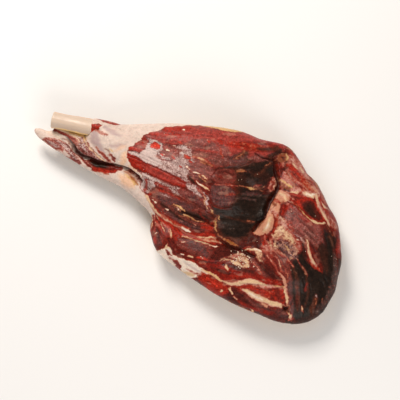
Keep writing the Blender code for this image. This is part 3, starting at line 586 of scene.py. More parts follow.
    area("rose", (138, 72), (144, 65), (154, 66), (166, 70), (176, 76), (186, 82), (188, 90), (176, 88),
         (166, 82), (156, 82), (146, 78)),
    streak("cream_fat", (144, 68, 1), (150, 69, 1.8), (155, 74, 1.4)),
    streak("cream_fat", (166, 78, 1.6), (174, 80, 3.4), (184, 83, 3)),
    streak("white_fat", (170, 78, 1), (180, 84, 2)),
    streak("rust", (160, 84, 1), (160.5, 76, 1.4), (158, 70, 1)),
    streak("rose", (126, 58, 2), (136, 60, 2), (146, 61, 1.6), (156, 60, 1)),
    streak("old_fat", (124, 72, 2), (134, 68, 3), (144, 78, 2)),
    streak("dark", (128, 68, 0.8), (135, 66, 1.4), (141, 68, 0.8)),
    streak("yellow_fat", (112, 80, 0.8), (117, 77, 1.2), (127, 77, 1.6), (142, 75, 1.2)),
    area("bright", (190, 90), (200, 86), (214, 82), (230, 78), (242, 72), (240, 62), (228, 62), (214, 68),
         (202, 74), (192, 80)),
    streak("rust", (196, 84, 2), (212, 80, 3), (230, 74, 3)),
    streak("rose", (198, 80, 1), (207, 76, 2), (216, 73, 1.4)),
    streak("cream_fat", (202, 77, 0.8), (208, 74, 1.3)),
    area("pink_fat", (122, 62), (138, 63), (150, 58), (147, 48), (142, 40), (147, 28), (150, 24), (135, 21),
         (127, 24), (124, 38)),
    streak("old_fat", (122, 46, 1.4), (127, 38, 2.8), (134, 34, 3)),
    streak("rust", (124, 44, 2), (134, 42, 3), (142, 40, 1.4)),
    streak("cream_fat", (130, 56, 2), (140, 56, 2.4), (146, 50, 1.4)),
    area("old_fat", (94, 108), (95, 118), (102, 124), (110, 120), (112, 112), (107, 105), (99, 103)),
    streak("yellow_fat", (104, 123, 0.8), (110, 118, 1), (111, 112, 0.8)),
    streak("oxblood", (101, 114, 1.4), (106, 113, 2)),
    area("oxblood", (103, 66), (106, 76), (112, 76), (118, 66), (118, 54), (113, 42), (106, 40), (103, 52)),
    area("rose", (106, 76), (111, 75), (117, 66), (118, 58), (115, 50), (110, 52), (106, 62)),
    streak("brown", (112, 70, 0.8), (113, 62, 1.2), (113, 54, 0.8)),
    streak("cream_fat", (113, 73, 0.5), (117, 66, 0.8), (117, 57, 0.6)),
    # Rump: the cream saddle, purple round and dark parallelogram
    area("bruised_fat", (128, 24), (150, 25), (165, 24), (178, 18), (183, 8), (190, 2), (204, 0),
         (208, -10), (206, -26), (190, -36), (168, -38), (152, -52), (156, -30), (158, -16), (152, -5),
         (146, 8)),
    area("mealy_fat", (150, -14), (152, 0), (160, 9), (172, 8), (184, 3), (194, -3), (198, -8), (188, -11),
         (174, -9), (162, -14)),
    streak("cream_fat", (156, -6, 1), (162, 1, 1.6), (169, 3, 1.2)),
    streak("cream_fat", (176, -3, 1), (184, -3, 1.2), (190, -5, 0.8)),
    streak("peach", (152, 22, 1.4), (158, 18, 2), (164, 12, 1.2)),
    streak("rose", (152, 14, 3), (164, 16, 3), (172, 8, 3)),
    streak("bright", (168, 18, 0.8), (174, 8, 1.4), (170, 14, 0.8)),
    area("pink_fat", (126, 21), (138, 21), (148, 11), (151, -2), (148, -15), (140, -22), (127, -27),
         (123, -20), (125, -4)),
    streak("cream_fat", (137, 10, 2), (142, -2, 3.4), (141, -13, 2.6)),
    # Painted highlight: the white streak down the pink lump
    streak("white_fat", (141, 2, 0.8), (142, -8, 1.4)),
    streak("old_fat", (128, 14, 2), (130, 2, 1.6), (128, -12, 1.6)),
    streak("rust", (146, 20, 1.4), (152, 8, 3), (154, -8, 3)),
    streak("bright", (137, 20, 0.6), (146, 12, 1.1), (152, 3, 1.6), (151, -10, 2), (148, -20, 2)),
    streak("bright", (148, -22, 2), (152, -30, 3.4), (152, -40, 2.4)),
    streak("rose", (156, -34, 2), (158, -44, 2)),
    area("mauve", (142, 44), (152, 48), (165, 48), (185, 43), (200, 41), (216, 43), (223, 35), (233, 25),
         (239, 18), (226, 8), (212, 4), (195, 4), (184, 10), (178, 20), (165, 24), (152, 25), (146, 32)),
    area("bright", (142, 46), (152, 50), (168, 48), (160, 42), (154, 34), (154, 26), (147, 26), (145, 34)),
    streak("red", (176, 40, 1.4), (192, 37, 2), (206, 38, 1.4)),
    streak("plum", (196, 24, 4), (208, 22, 7), (222, 20, 5)),
    streak("deep", (158, 42, 2.4), (166, 36, 4), (172, 26, 3)),
    streak("white_fat", (160, 40, 0.5), (162, 38, 0.9)),
    streak("white_fat", (196, 2, 1), (199, 3, 1.6)),
    streak("haze", (184, 8, 1.4), (198, 6, 2), (210, 4, 1.4)),
    area("bright", (164, 55), (160, 62), (168, 70), (180, 77), (192, 76), (206, 66), (220, 55), (214, 45),
         (200, 43), (184, 47), (172, 50)),
    area("oxblood", (170, 60), (177, 71), (186, 73), (196, 67), (207, 60), (213, 54), (209, 48), (197, 48),
         (184, 51), (174, 56)),
    area("dark", (178, 56), (178, 64), (186, 66), (196, 59), (204, 52), (194, 50), (184, 52)),
    streak("bright", (144, 65, 0.6), (158, 69, 1.4), (176, 73, 1)),
    streak("bright", (150, 58, 1), (160, 57, 1.6), (170, 58, 1)),
    streak("rose", (148, 52, 1.4), (162, 54, 1.6)),
    streak("rust", (160, 55, 2), (180, 48, 2.4), (200, 43, 2.4), (214, 45, 1.6)),
    streak("yellow_fat", (170, 52, 0.5), (182, 48, 0.9), (196, 44, 0.9)),
    streak("cream_fat", (196, 44, 0.9), (204, 43, 1.8), (212, 44, 2.2), (219, 50, 1.8)),
    streak("rose", (184, 84, 3), (194, 75, 3), (207, 65, 3.4), (220, 58, 3), (230, 50, 2)),
    streak("cream_fat", (184, 84, 1.6), (192, 76, 1.4), (199, 70, 0.6)),
    streak("cream_fat", (204, 67, 0.8), (212, 62, 1.8), (220, 57, 1.4), (228, 52, 0.8)),
    streak("rose", (228, 62, 1.4), (238, 58, 1.6), (246, 48, 1)),
    streak("rust", (226, 68, 2), (238, 66, 2), (248, 54, 2)),
    streak("old_fat", (224, 49, 1), (234, 43, 1.3), (250, 36, 0.9)),
    area("dried", (224, 40), (236, 41), (250, 36), (258, 30), (256, 20), (266, 5), (277, -12), (290, -40),
         (294, -60), (290, -85), (276, -104), (262, -118), (250, -114), (240, -98), (230, -82), (218, -64),
         (208, -44), (206, -24), (214, -10), (228, -22), (246, -24), (256, -14), (248, 6), (240, 18),
         (232, 28)),
    streak("cherry", (246, 50, 2), (256, 36, 3), (262, 22, 2.6), (265, 10, 1.4)),
    streak("rust", (252, 48, 1.4), (261, 32, 2), (266, 18, 1.6)),
    area("dark", (230, 20), (242, 18), (250, 8), (262, -10), (270, -24), (256, -22), (244, -8), (232, 2)),
    streak("oxblood", (216, 9, 1.6), (228, 2, 2.6), (240, -7, 3), (254, -18, 2.4)),
    streak("deep", (222, 2, 1.4), (234, -6, 2.4), (246, -15, 2.4), (256, -22, 1.6)),
    streak("rust", (208, 10, 1.6), (218, 0, 2.6), (226, -10, 3.2), (234, -19, 3), (246, -23, 3.4),
           (256, -25, 1.6)),
    streak("rose", (206, 11, 1), (213, 5, 1.6), (219, -2, 2.4), (226, -10, 2.8), (234, -17, 3),
           (244, -20, 2.4)),
    streak("cream_fat", (208, 10, 0.7), (214, 4, 1.1), (219, -2, 1.6), (225, -9, 2), (232, -15, 2),
           (240, -19, 1.4)),
    streak("brown", (236, 34, 1.4), (246, 30, 2.4), (254, 22, 1.6)),
    streak("dark", (207, 0, 1.6), (213, -8, 2), (222, -20, 2.4)),
    streak("mauve", (172, -12, 2.4), (180, -13, 3)),
    streak("oxblood", (168, -17, 1), (176, -16, 1.8), (184, -12, 1)),
    streak("oxblood", (162, -22, 0.8), (172, -24, 1.4)),
    area("flecked", (160, -18), (174, -12), (192, -9), (206, -14), (212, -26), (202, -34), (182, -33),
         (168, -30)),
    streak("dusk", (176, -27, 1.4), (186, -26, 2), (196, -29, 1.6)),
    streak("cream_fat", (166, -22, 0.8), (170, -27, 1)),
    streak("yellow_fat", (183, -17, 0.6), (190, -20, 0.9)),
    streak("mealy_fat", (156, -26, 2), (164, -32, 2.4), (172, -37, 1.6)),
    # The striped web from the fold to the near corner
    area("wine", (160, -38), (176, -36), (196, -38), (212, -48), (222, -62), (232, -80), (240, -94),
         (230, -92), (220, -80), (208, -66), (190, -58), (174, -52), (160, -46)),
    area("oxblood", (158, -68), (174, -60), (190, -63), (200, -72), (198, -78), (182, -82), (168, -78)),
    area("bruised_fat", (155, -32), (162, -31), (176, -36), (186, -42), (180, -50), (164, -46), (153, -43)),
    streak("rose", (170, -37, 2), (180, -43, 1.6), (191, -50, 1.4), (202, -60, 1.4), (212, -72, 2)),
    streak("rose", (190, -43, 0.8), (200, -50, 1.2), (208, -58, 1)),
    streak("rust", (126, -58, 1), (140, -53, 2), (154, -46, 2.4)),
    streak("cream_fat", (128, -60, 0.6), (136, -54, 1.1), (142, -50, 1.8), (152, -46, 2)),
    area("mealy_fat", (140, -52), (150, -47), (159, -50), (165, -57), (161, -64), (152, -60), (146, -55)),
    # Painted highlight: a white glint on the cream fat ridge
    streak("white_fat", (141, -50, 0.7), (149, -47, 1.2), (155, -47, 0.7)),
    streak("plum", (144, -66, 3), (158, -71, 3.4), (170, -76, 2.4), (182, -79, 1)),
    streak("rose", (150, -70, 0.8), (162, -74, 1.2), (176, -79, 0.8)),
    streak("cream_fat", (186, -46, 0.5), (192, -51, 0.8), (199, -58, 0.6)),
    streak("cherry", (172, -42, 1), (182, -47.5, 1.6), (194, -56, 1.2), (203, -65, 0.8)),
    streak("rose", (166, -48, 0.9), (190, -58, 1.2), (206, -68, 1.2)),
    streak("deep", (168, -45, 0.8), (188, -53, 1.3), (204, -62, 1)),
    streak("oxblood", (172, -38, 0.8), (192, -43, 1.3), (209, -52, 1)),
    streak("rose", (178, -30, 0.8), (198, -34, 0.9), (214, -42, 0.6)),
    streak("rose", (210, -26, 0.5), (226, -34, 0.9), (240, -42, 0.6)),
    streak("old_fat", (224, -34, 0.8), (234, -40, 1.1), (242, -46, 0.6)),
    streak("brown", (214, -44, 1), (232, -58, 1), (246, -84, 1)),
    streak("brown", (240, -46, 0.8), (256, -66, 1), (262, -90, 0.8)),
    streak("rose", (196, -62, 1), (206, -66, 1.6), (214, -73, 2.4), (224, -83, 3), (235, -95, 3.2),
           (245, -108, 3), (253, -120, 3)),
    streak("pink_fat", (198, -63, 0.6), (206, -67, 1.2), (214, -72, 2.2), (222, -84, 1.8), (230, -94, 1.6)),
    streak("cream_fat", (219, -83, 1), (228, -92, 1.8), (237, -101, 2.2), (244, -109, 2.4),
           (250, -117, 2.4)),
    streak("pink_fat", (210, -56, 0.6), (215, -62, 1.2), (218, -70, 1)),
    streak("old_fat", (236, -104, 0.6), (245, -112, 1)),
    area("dried", (229, -107), (237, -106), (241, -113), (234, -116)),
    streak("bright", (246, -56, 0.8), (250, -66, 1.3)),
    streak("cream_fat", (258, -92, 0.4), (264, -100, 0.7)),
    # Painted highlight: a small glint on the dark lean
    streak("silver", (270, -64, 0.6), (272, -68, 1)),
    streak("brown", (272, -70, 3), (276, -92, 4)),
    streak("old_fat", (272, -70, 0.8), (276, -76, 1.2)),
    streak("old_fat", (280, -62, 0.6), (283, -68, 1)),
    # Painted reflection: the grey sheen of the light along the rounded right rim, laid as ashen lean
    streak("ash", (262, 12, 1.6), (272, -4, 3), (281, -22, 4), (286, -42, 4), (288, -65, 4), (282, -88, 3)),
    streak("dusk", (216, -60, 1.6), (228, -78, 3), (240, -98, 4), (248, -110, 3)),
    streak("dusk", (228, -60, 1), (242, -78, 2.4), (252, -94, 2)),
    streak("brown", (222, -50, 1.4), (234, -66, 2), (246, -84, 2), (256, -102, 2)),
    streak("oxblood", (232, -62, 0.8), (242, -80, 1.2), (250, -98, 1)),
    streak("oxblood", (220, -72, 0.6), (230, -88, 1)),
)

# Each crease's kind, and its spine of (x, y, half width) points in plan mm
CREASE_LINES = (
    ("seam", (-266, -48, 0.2), (-240, -45, 0.4), (-228, -46, 0.6)),
    ("cleft", (-232, -46, 0.2), (-221, -50, 0.8), (-210, -55, 1.2)),
    ("fold", (-214, -53, 0.4), (-204, -58, 1), (-190, -60, 0.8), (-175, -58, 0.8), (-163, -57, 1.6),
     (-150, -52, 1.2), (-135, -46, 0.4), (-122, -42, 0.4), (-112, -41, 0.6), (-100, -42, 1),
     (-90, -44, 0.8), (-82, -46, 0.2)),
    ("fold", (90, 106, 0.6), (97, 99, 1.6), (104, 89, 1.6), (113, 79, 1.2), (120, 68, 1.4), (123, 58, 2),
     (123, 46, 2), (122, 34, 1.6), (124, 20, 1.4), (127, 8, 1), (124, -6, 0.6), (125, -22, 0.4)),
    ("cleft", (60, 96, 0.2), (76, 96, 0.4), (92, 102, 0.6)),
    ("cleft", (128, -60, 0.6), (140, -62, 2), (148, -60, 1)),
    ("cleft", (4, -57, 0.2), (26, -53, 1.2), (46, -49, 1), (62, -51, 0.4)),
    ("cleft", (80, -65, 0.2), (96, -67, 0.6), (112, -66, 0.6), (121, -63, 0.2)),
    ("cleft", (234, -109, 0.6), (244, -112, 1)),
    ("seam", (-58, -62, 0.4), (-44, -71, 0.4), (-20, -77, 0.4), (20, -77, 0.4)),
    ("seam", (-124, -19, 0.4), (-80, -14, 0.3), (-40, -11, 0.3), (-14, -12, 0.3)),
    ("seam", (-98, -32, 0.4), (-60, -27, 0.3), (-20, -23, 0.3)),
    ("seam", (17, 22, 0.3), (17, 38, 0.3), (30, 48, 0.3), (44, 58, 0.4), (62, 80, 0.3)),
    ("seam", (27, 0, 0.3), (30, -10, 0.4), (44, -18, 0.5), (58, -17, 0.4), (72, -4, 0.4), (71, 14, 0.4)),
    ("seam", (-46, -41, 0.2), (0, -36, 0.4), (30, -32, 0.5), (56, -38, 0.4)),
    ("seam", (26, -97, 0.3), (50, -86, 0.3), (80, -78, 0.4), (98, -66, 0.4)),
    ("seam", (84, -111, 0.3), (96, -104, 0.3), (104, -96, 0.4), (116, -80, 0.4)),
    ("seam", (150, 24, 0.3), (148, 34, 0.3), (144, 42, 0.3), (152, 51, 0.3), (176, 51, 0.3),
     (200, 45, 0.3)),
    ("seam", (137, 21, 0.3), (148, 12, 0.6), (152, 2, 0.8), (150, -16, 0.8), (153, -34, 0.5)),
    ("seam", (209, -3, 0.4), (218, -16, 0.8), (232, -24, 0.4)),
    ("seam", (166, -60, 0.2), (190, -66, 0.4), (214, -78, 0.3)),
    ("seam", (150, -112, 0.2), (172, -102, 0.3), (204, -84, 0.3)),
    ("seam", (-150, -48, 0.3), (-176, -43, 0.5), (-196, -38, 0.6), (-206, -28, 0.5), (-208, -12, 0.3)),
    ("seam", (-206, -62, 0.5), (-225, -56, 0.3), (-240, -52, 0.2)),
)

# How the fibres run: a place in each muscle in plan mm, and their direction in degrees from +X
FIBRES = (
    (-230, -20, 14), (-150, 0, 16), (-70, 60, 32), (0, 85, 30), (60, 108, 22), (-60, 5, 6), (10, 30, 12),
    (90, 70, 52), (95, 20, 27), (95, -35, 32), (0, -55, 9), (-60, -20, 6), (60, -95, 22), (0, -110, -42),
    (120, -105, 24), (190, -120, 14), (190, -48, -23), (215, -92, 50), (250, -75, -58), (255, 15, -52),
    (195, 28, -8), (190, 60, -30), (150, 92, -28), (140, 0, -80), (175, -5, -15), (228, -30, -28),
)

# The Mix node's sockets for colours
MIX_FACTOR, MIX_A, MIX_B, MIX_RESULT = 0, 6, 7, 2


def linear(hex_colour):
    """The linear RGBA of an sRGB hex colour."""
    channels = [int(hex_colour[i:i + 2], 16) / 255 for i in (1, 3, 5)]
    return tuple(c / 12.92 if c <= 0.04045 else ((c + 0.055) / 1.055) ** 2.4 for c in channels) + (1.0,)


def colour_setting(name, description, hex_colour):
    """A colour that the panel shows."""
    return bpy.props.FloatVectorProperty(name=name, description=description, default=linear(hex_colour),
                                         subtype="COLOR", size=4, min=0.0, max=1.0)


def length_setting(name, description, millimetres):
    """A length that the panel shows."""
    return bpy.props.FloatProperty(name=name, description=description, default=millimetres * MM, min=0.0,
                                   subtype="DISTANCE", unit="LENGTH", precision=5)


class HamSizes(bpy.types.PropertyGroup):
    """Sizes of the ham's relief and crumbs."""

    grid: length_setting("Skin grid", "Edge of the squares that the meat's skin is made of", 1.45)
    lumps: length_setting("Lumps", "Height of the broad unevenness of the meat", 0.9)
    dimples: length_setting("Dimples", "Height of the small unevenness of the meat", 0.35)
    fibres: length_setting("Fibres", "Height of the ridges that bundles of fibre make", 0.45)
    crags: length_setting("Crags", "Height of the grains in crumbly fat", 1.5)
    crumb: length_setting("Crumb", "Width of a loose crumb of white fat", 3.0)
    speck: length_setting("Speck", "Width of a white crystal on the lean", 1.5)
    bone_grid: length_setting("Bone grid", "Edge of the squares that the bone's skin is made of", 1.0)


class HamColours(bpy.types.PropertyGroup):
    """Colours of the meat, fat, bone and floor."""

    dried: colour_setting("Dried crust", "Lean dried almost black on the dome", "#21140D")
    dark: colour_setting("Dark lean", "Lean dried dark brown", "#33180F")
    brown: colour_setting("Brown lean", "Lean dried brown", "#4A2416")
    oxblood: colour_setting("Oxblood lean", "Lean at its darkest red", "#4A160E")
    deep: colour_setting("Deep red lean", "Moist lean in shadow", "#641A10")
    cherry: colour_setting("Cherry lean", "Moist lean lit from within", "#7A190E")
    dusk: colour_setting("Dusky lean", "Lean gone purple as it dried", "#5C3836")
    wine: colour_setting("Wine lean", "Lean under a thin film", "#6E322A")
    mauve: colour_setting("Mauve lean", "Lean under a thicker film", "#7F433D")
    # Plum also paints the grey-purple reflection of the light on the upper round
    plum: colour_setting("Plum lean", "Upper round where the film is thin", "#75413A")
    # Ashen lean also paints the grey reflection of the light along the rounded rim
    ash: colour_setting("Ashen lean", "Dried rim with a grey bloom", "#4B3833")
    red: colour_setting("Red lean", "Lean of the upper round", "#973830")
    bright: colour_setting("Bright lean", "Freshly bared lean", "#962212")
    vivid: colour_setting("Vivid lean", "Wettest bared lean", "#C63826")
    film: colour_setting("Silver film", "Dry silver skin over the lean", "#C8B3AE")
    marbling: colour_setting("Marbling", "Fat within the lean", "#BE8C78")
    white_fat: colour_setting("White fat", "Fat at its palest", "#E2D3C4")
    sheath: colour_setting("Sheath", "Smooth sheath of the shank", "#D2C1B7")
    lilac: colour_setting("Lilac", "Lean seen through the sheath", "#9C8087")
    peach: colour_setting("Peach sheath", "Sheath stained by oil", "#DEB89C")
    rose: colour_setting("Rose fat", "Fat blushed by the lean", "#BE8C80")
    cream_fat: colour_setting("Cream fat", "Fat of the cut bands", "#D0B08C")
    pink_fat: colour_setting("Pink fat", "Fat stained by the lean", "#C0866B")
    yellow_fat: colour_setting("Yellow fat", "Fat at the outer edge", "#CCA468")
    amber_fat: colour_setting("Amber fat", "Oily fat, half clear", "#9C602B")
    old_fat: colour_setting("Old fat", "Fat dried brown", "#6C3F20")
    stain: colour_setting("Stained fat", "Thin fat over the lean", "#9E4427")
    rind: colour_setting("Outer fat", "Cured fat of the underside", "#D3AE78")
    rind_deep: colour_setting("Outer fat, oiled", "Darker oiled fat of the underside", "#B07B45")
    # Gap is painted shade: the darkness laid into the creases and between the fibres
    gap: colour_setting("Gap", "Wet darkness inside a crease", "#3E130C")
    bone: colour_setting("Bone", "Scraped shank bone", "#C6B3A3")
    bone_edge: colour_setting("Bone edge", "Oil and meat left along the bone", "#CE9462")
    # Bone oil is a yellow oil stain, painted much lighter as painted light on the bone's shaded underside
    bone_oil_and_light: colour_setting("Bone oil", "Yellow oil soaked into the bone", "#F6D68E")
    bone_end: colour_setting("Bone end", "Sawn end of the bone", "#E2C8A2")
    floor: colour_setting("Floor", "Matt studio floor", "#E6EAEE")


def smooth_step(low, high, value):
    """0 below low, 1 above high, and a smooth rise between."""
    share = np.clip((value - low) / (high - low), 0.0, 1.0)
    return share * share * (3.0 - 2.0 * share)


def value_noise(points, cell, seed):
    """Smooth noise from -1 to 1 at points in mm, with one bump to a cell."""
    table_side = 32
    table = np.random.default_rng(seed).uniform(-1.0, 1.0, (table_side,) * 3)
    scaled = points / cell
    base = np.floor(scaled).astype(int)
    share = scaled - base
    share = share * share * (3.0 - 2.0 * share)
    total = np.zeros(len(points))
    for corner in range(8):
        step = np.array([corner & 1, corner >> 1 & 1, corner >> 2 & 1])
        weight = np.prod(np.where(step, share, 1.0 - share), axis=1)
        total += weight * table[tuple(((base + step) % table_side).T)]
    return total


def rough_noise(points, kind):
    """Value noise with finer layers added, each half as high and about half as wide."""
    cell, seed, layers = NOISES[kind]
    shift, narrowing = 7.3, 2.1
    total = sum(value_noise(points + shift * layer, cell / narrowing ** layer, seed + layer) / 2 ** layer
                for layer in range(layers))
    return total / sum(0.5 ** layer for layer in range(layers))


def camera_back():
    """The direction from the ham to the camera."""
    azimuth, elevation = math.radians(CAMERA_AZIMUTH), math.radians(CAMERA_ELEVATION)
    flat = math.cos(elevation)
    return Vector((math.sin(azimuth) * flat, -math.cos(azimuth) * flat, math.sin(elevation)))


def plan_of(points):
    """Where the camera's line of sight to each point, in mm, crosses the marks' level."""
    camera = np.array(CAMERA_TARGET + camera_back() * CAMERA_DISTANCE) / MM
    share = (PLAN_LEVEL - camera[2]) / (points[:, 2] - camera[2])
    return camera[:2] + (points[:, :2] - camera[:2]) * share[:, None] - np.array(PLAN_ORIGIN)


def distance_to_spine(points, spine, closed=False):
    """Distance in mm from each point to a line, less the line's half width there."""
    best = np.full(len(points), np.inf)
    ends = list(spine)
    for start, end in zip(ends, ends[1:] + ends[:1] if closed else ends[1:]):
        first, last = np.array(start[:2], float), np.array(end[:2], float)
        run = last - first
        share = np.clip((points - first) @ run / (run @ run), 0.0, 1.0)
        gap = np.hypot(*(points - first - share[:, None] * run).T)
        if len(start) > 2:
            gap = gap - (start[2] + (end[2] - start[2]) * share)
        best = np.minimum(best, gap)
    return best


def inside_outline(points, outline):
    """Whether each point is inside a closed outline."""
    inside = np.zeros(len(points), bool)
    x, y = points.T
    for (ax, ay), (bx, by) in zip(outline, outline[1:] + outline[:1]):
        crosses = (ay > y) != (by > y)
        if ay != by:
            inside ^= crosses & (x < ax + (y - ay) * (bx - ax) / (by - ay))
    return inside


def depth_inside(points, kind, shape):
    """How far inside a mark each point is, in mm, below 0 outside it."""
    if kind == "streak":
        return -distance_to_spine(points, shape)
    gap = distance_to_spine(points, shape, closed=True)
    return np.where(inside_outline(points, shape), gap, -gap)


def near_shape(points, shape, reach):
    """Which points are within reach of a shape's box, past its half width if it has one."""
    corners = np.array([corner[:2] for corner in shape], float)
    reach += max([corner[2] for corner in shape if len(corner) > 2], default=0.0)
    low, high = corners.min(0) - reach, corners.max(0) + reach
    return np.flatnonzero(((points > low) & (points < high)).all(1))


def lay_marks(plan, blur, colours):
    """The colour of the lean, film, fat, colour of the fat and height that the marks give each plan point."""
    count = len(plan)
    layers = {"lean": np.tile(colours.deep[:3], (count, 1)), "veil": np.zeros((count, 1)),
              "fat": np.zeros((count, 1)), "fat_colour": np.tile(colours.cream_fat[:3], (count, 1)),
              "height": np.zeros((count, 1))}
    for finish, kind, shape in MARKS:
        *values, softness = FINISHES[finish]
        near = near_shape(plan, shape, softness)
        soft = softness * blur[near]
        cover = smooth_step(-0.5, 0.5, depth_inside(plan[near], kind, shape) / soft)[:, None]
        for layer, value in zip(layers, values):
            if isinstance(value, str):
                value = np.array(getattr(colours, value)[:3])
            if value is not None:
                layers[layer][near] += (value - layers[layer][near]) * cover
    return layers


def cut_creases(plan):
    """How deep each plan point lies in a crease, in mm, and how much painted shade that gives it, from 0 to
    1.
    """
    depth = np.zeros(len(plan))
    dark = np.zeros(len(plan))
    for kind, *spine in CREASE_LINES:
        deepest, lip, deepest_shade = CREASES[kind]
        near = near_shape(plan, spine, lip)
        gap = distance_to_spine(plan[near], spine)
        depth[near] = np.maximum(depth[near], deepest * (1.0 - smooth_step(CREASE_BED, lip, gap)))
        # Painted shade inside the crease
        dark[near] = np.maximum(dark[near], deepest_shade * (1.0 - smooth_step(CREASE_BED, SHADED_LIP * lip, gap)))
    return depth, dark


def fibre_direction(plan):
    """The direction of the fibres at each plan point, blended between the muscles' places."""
    places = np.array([place[:2] for place in FIBRES], float)
    angles = np.radians([2.0 * place[2] for place in FIBRES])
    reach = 11.0
    gaps = np.hypot(plan[:, None, 0] - places[:, 0], plan[:, None, 1] - places[:, 1])
    weight = np.exp(-(gaps - gaps.min(1, keepdims=True)) / reach)
    half = 0.5 * np.arctan2(weight @ np.sin(angles), weight @ np.cos(angles))
    return np.stack([np.cos(half), np.sin(half)], axis=1)


def fibre_streaks(plan, kind):
    """Noise from -1 to 1 drawn out along the fibres."""
    cell, length, seed = STREAKS[kind]
    steps, contrast = 7, 2.4
    stride = length / (2 * steps)
    total = np.zeros(len(plan))
    for way in (1.0, -1.0):
        place = plan.copy()
        for _ in range(steps):
            place = place + way * stride * fibre_direction(place)
            flat = np.column_stack([place, np.zeros(len(place))])
            total += value_noise(flat, cell, seed)
    return np.clip(total / (2 * steps) * contrast, -1.0, 1.0)


def new_piece(name, mesh, replaced=None):
    """Links a finished mesh as a piece of the ham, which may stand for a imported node."""
    piece = bpy.data.objects.new(name, mesh)
    bpy.context.scene.collection.objects.link(piece)
    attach(piece, "root")
    if replaced:
        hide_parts(replaced)


def merged_copy(node):
    """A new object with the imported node's mesh, its doubles merged."""
    bm = bmesh.new()
    bm.from_mesh(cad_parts[node].data)
    bmesh.ops.remove_doubles(bm, verts=bm.verts, dist=MERGE_GAP * MM)
    mesh = bpy.data.meshes.new(node + "_copy")
    bm.to_mesh(mesh)
    bm.free()
    copy = bpy.data.objects.new(node + "_copy", mesh)
    bpy.context.scene.collection.objects.link(copy)
    return copy


def baked_mesh(obj, name):
    """The object's evaluated mesh as a plain one, with the object removed."""
    graph = bpy.context.evaluated_depsgraph_get()
    mesh = bpy.data.meshes.new_from_object(obj.evaluated_get(graph))
    mesh.name = name
    bpy.data.objects.remove(obj)
    return mesh


def add_sleeve(mesh):
    """Adds the closed sleeve of sheath that wraps the bone's root."""
    bm = bmesh.new()
    bm.from_mesh(mesh)
    rings = []
    for index, (x, y, z, radius) in enumerate(SLEEVE):
        before, after = SLEEVE[max(index - 1, 0)], SLEEVE[min(index + 1, len(SLEEVE) - 1)]
        along = (Vector(after[:3]) - Vector(before[:3])).normalized()
        side = along.cross(Vector((0.0, 0.0, 1.0))).normalized()
        up = side.cross(along)
        ring = []
        for step in range(SLEEVE_SIDES):
            turn = math.tau * step / SLEEVE_SIDES
            outward = radius * (math.cos(turn) * side + math.sin(turn) * up)
            ring.append(bm.verts.new((Vector((x, y, z)) + outward) * MM))
        rings.append(ring)
    for ring, following in zip(rings, rings[1:]):
        for step in range(SLEEVE_SIDES):
            beyond = (step + 1) % SLEEVE_SIDES
            bm.faces.new((ring[step], following[step], following[beyond], ring[beyond]))
    bm.faces.new(rings[0])
    bm.faces.new(reversed(rings[-1]))
    bm.to_mesh(mesh)
    bm.free()


def even_skin(copy, grid, passes):
    """The object's mesh with an even grid of faces, its facets smoothed out."""
    remesh = copy.modifiers.new("grid", "REMESH")
    remesh.mode = "VOXEL"
    remesh.voxel_size = grid
    smooth = copy.modifiers.new("smooth", "SMOOTH")
    smooth.factor = 0.5
    smooth.iterations = passes
    return baked_mesh(copy, copy.name + "_skin")


def thin_underside(mesh):
    """The mesh with fewer faces underneath, where it is plain fat."""
    carrier = bpy.data.objects.new("thinned", mesh)
    bpy.context.scene.collection.objects.link(carrier)
    under = np.flatnonzero(normals_of(mesh)[:, 2] < UNDERSIDE)
    carrier.vertex_groups.new(name="underside").add(under.tolist(), 1.0, "REPLACE")
    thin = carrier.modifiers.new("thin", "DECIMATE")
    thin.ratio = KEPT_SHARE
    thin.vertex_group = "underside"
    thin.vertex_group_factor = 10.0
    return baked_mesh(carrier, mesh.name + "_thinned")


def points_of(mesh):
    """The mesh's points in mm."""
    flat = np.empty(len(mesh.vertices) * 3, np.float32)
    mesh.vertices.foreach_get("co", flat)
    return flat.reshape(-1, 3).astype(float) / MM


def normals_of(mesh):
    """The mesh's normals at its points."""
    flat = np.empty(len(mesh.vertices) * 3, np.float32)
    mesh.vertex_normals.foreach_get("vector", flat)
    return flat.reshape(-1, 3).astype(float)


def move_points(mesh, points):
    """Puts the mesh's points at new places in mm, and shades it smooth."""
    mesh.vertices.foreach_set("co", (points * MM).astype(np.float32).ravel())
    mesh.polygons.foreach_set("use_smooth", np.ones(len(mesh.polygons), bool))
    mesh.update()


def keep_attribute(mesh, name, values):
    """Stores one number for each point, for the material to read."""
    attribute = mesh.attributes.new(name, "FLOAT", "POINT")
    attribute.data.foreach_set("value", values.astype(np.float32))


def attribute_of(mesh, name):
    """The numbers that an attribute holds for the mesh's points."""
    values = np.empty(len(mesh.vertices), np.float32)
    mesh.attributes[name].data.foreach_get("value", values)
    return values.astype(float)


def keep_colours(mesh, name, values):
    """Stores one linear colour for each point, for the material to read."""
    attribute = mesh.attributes.new(name, "FLOAT_VECTOR", "POINT")
    attribute.data.foreach_set("vector", values.astype(np.float32).ravel())


def stay_in_box(points, node):
    """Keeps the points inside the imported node's own box."""
    low, high = (np.array(corner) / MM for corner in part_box(node))
    return np.clip(points, low, high)


def oval_gap(plan, middle, half):
    """How far each plan point is from the middle of an oval, 1 at its edge."""
    return np.hypot(*((plan - np.array(middle)) / np.array(half)).T)


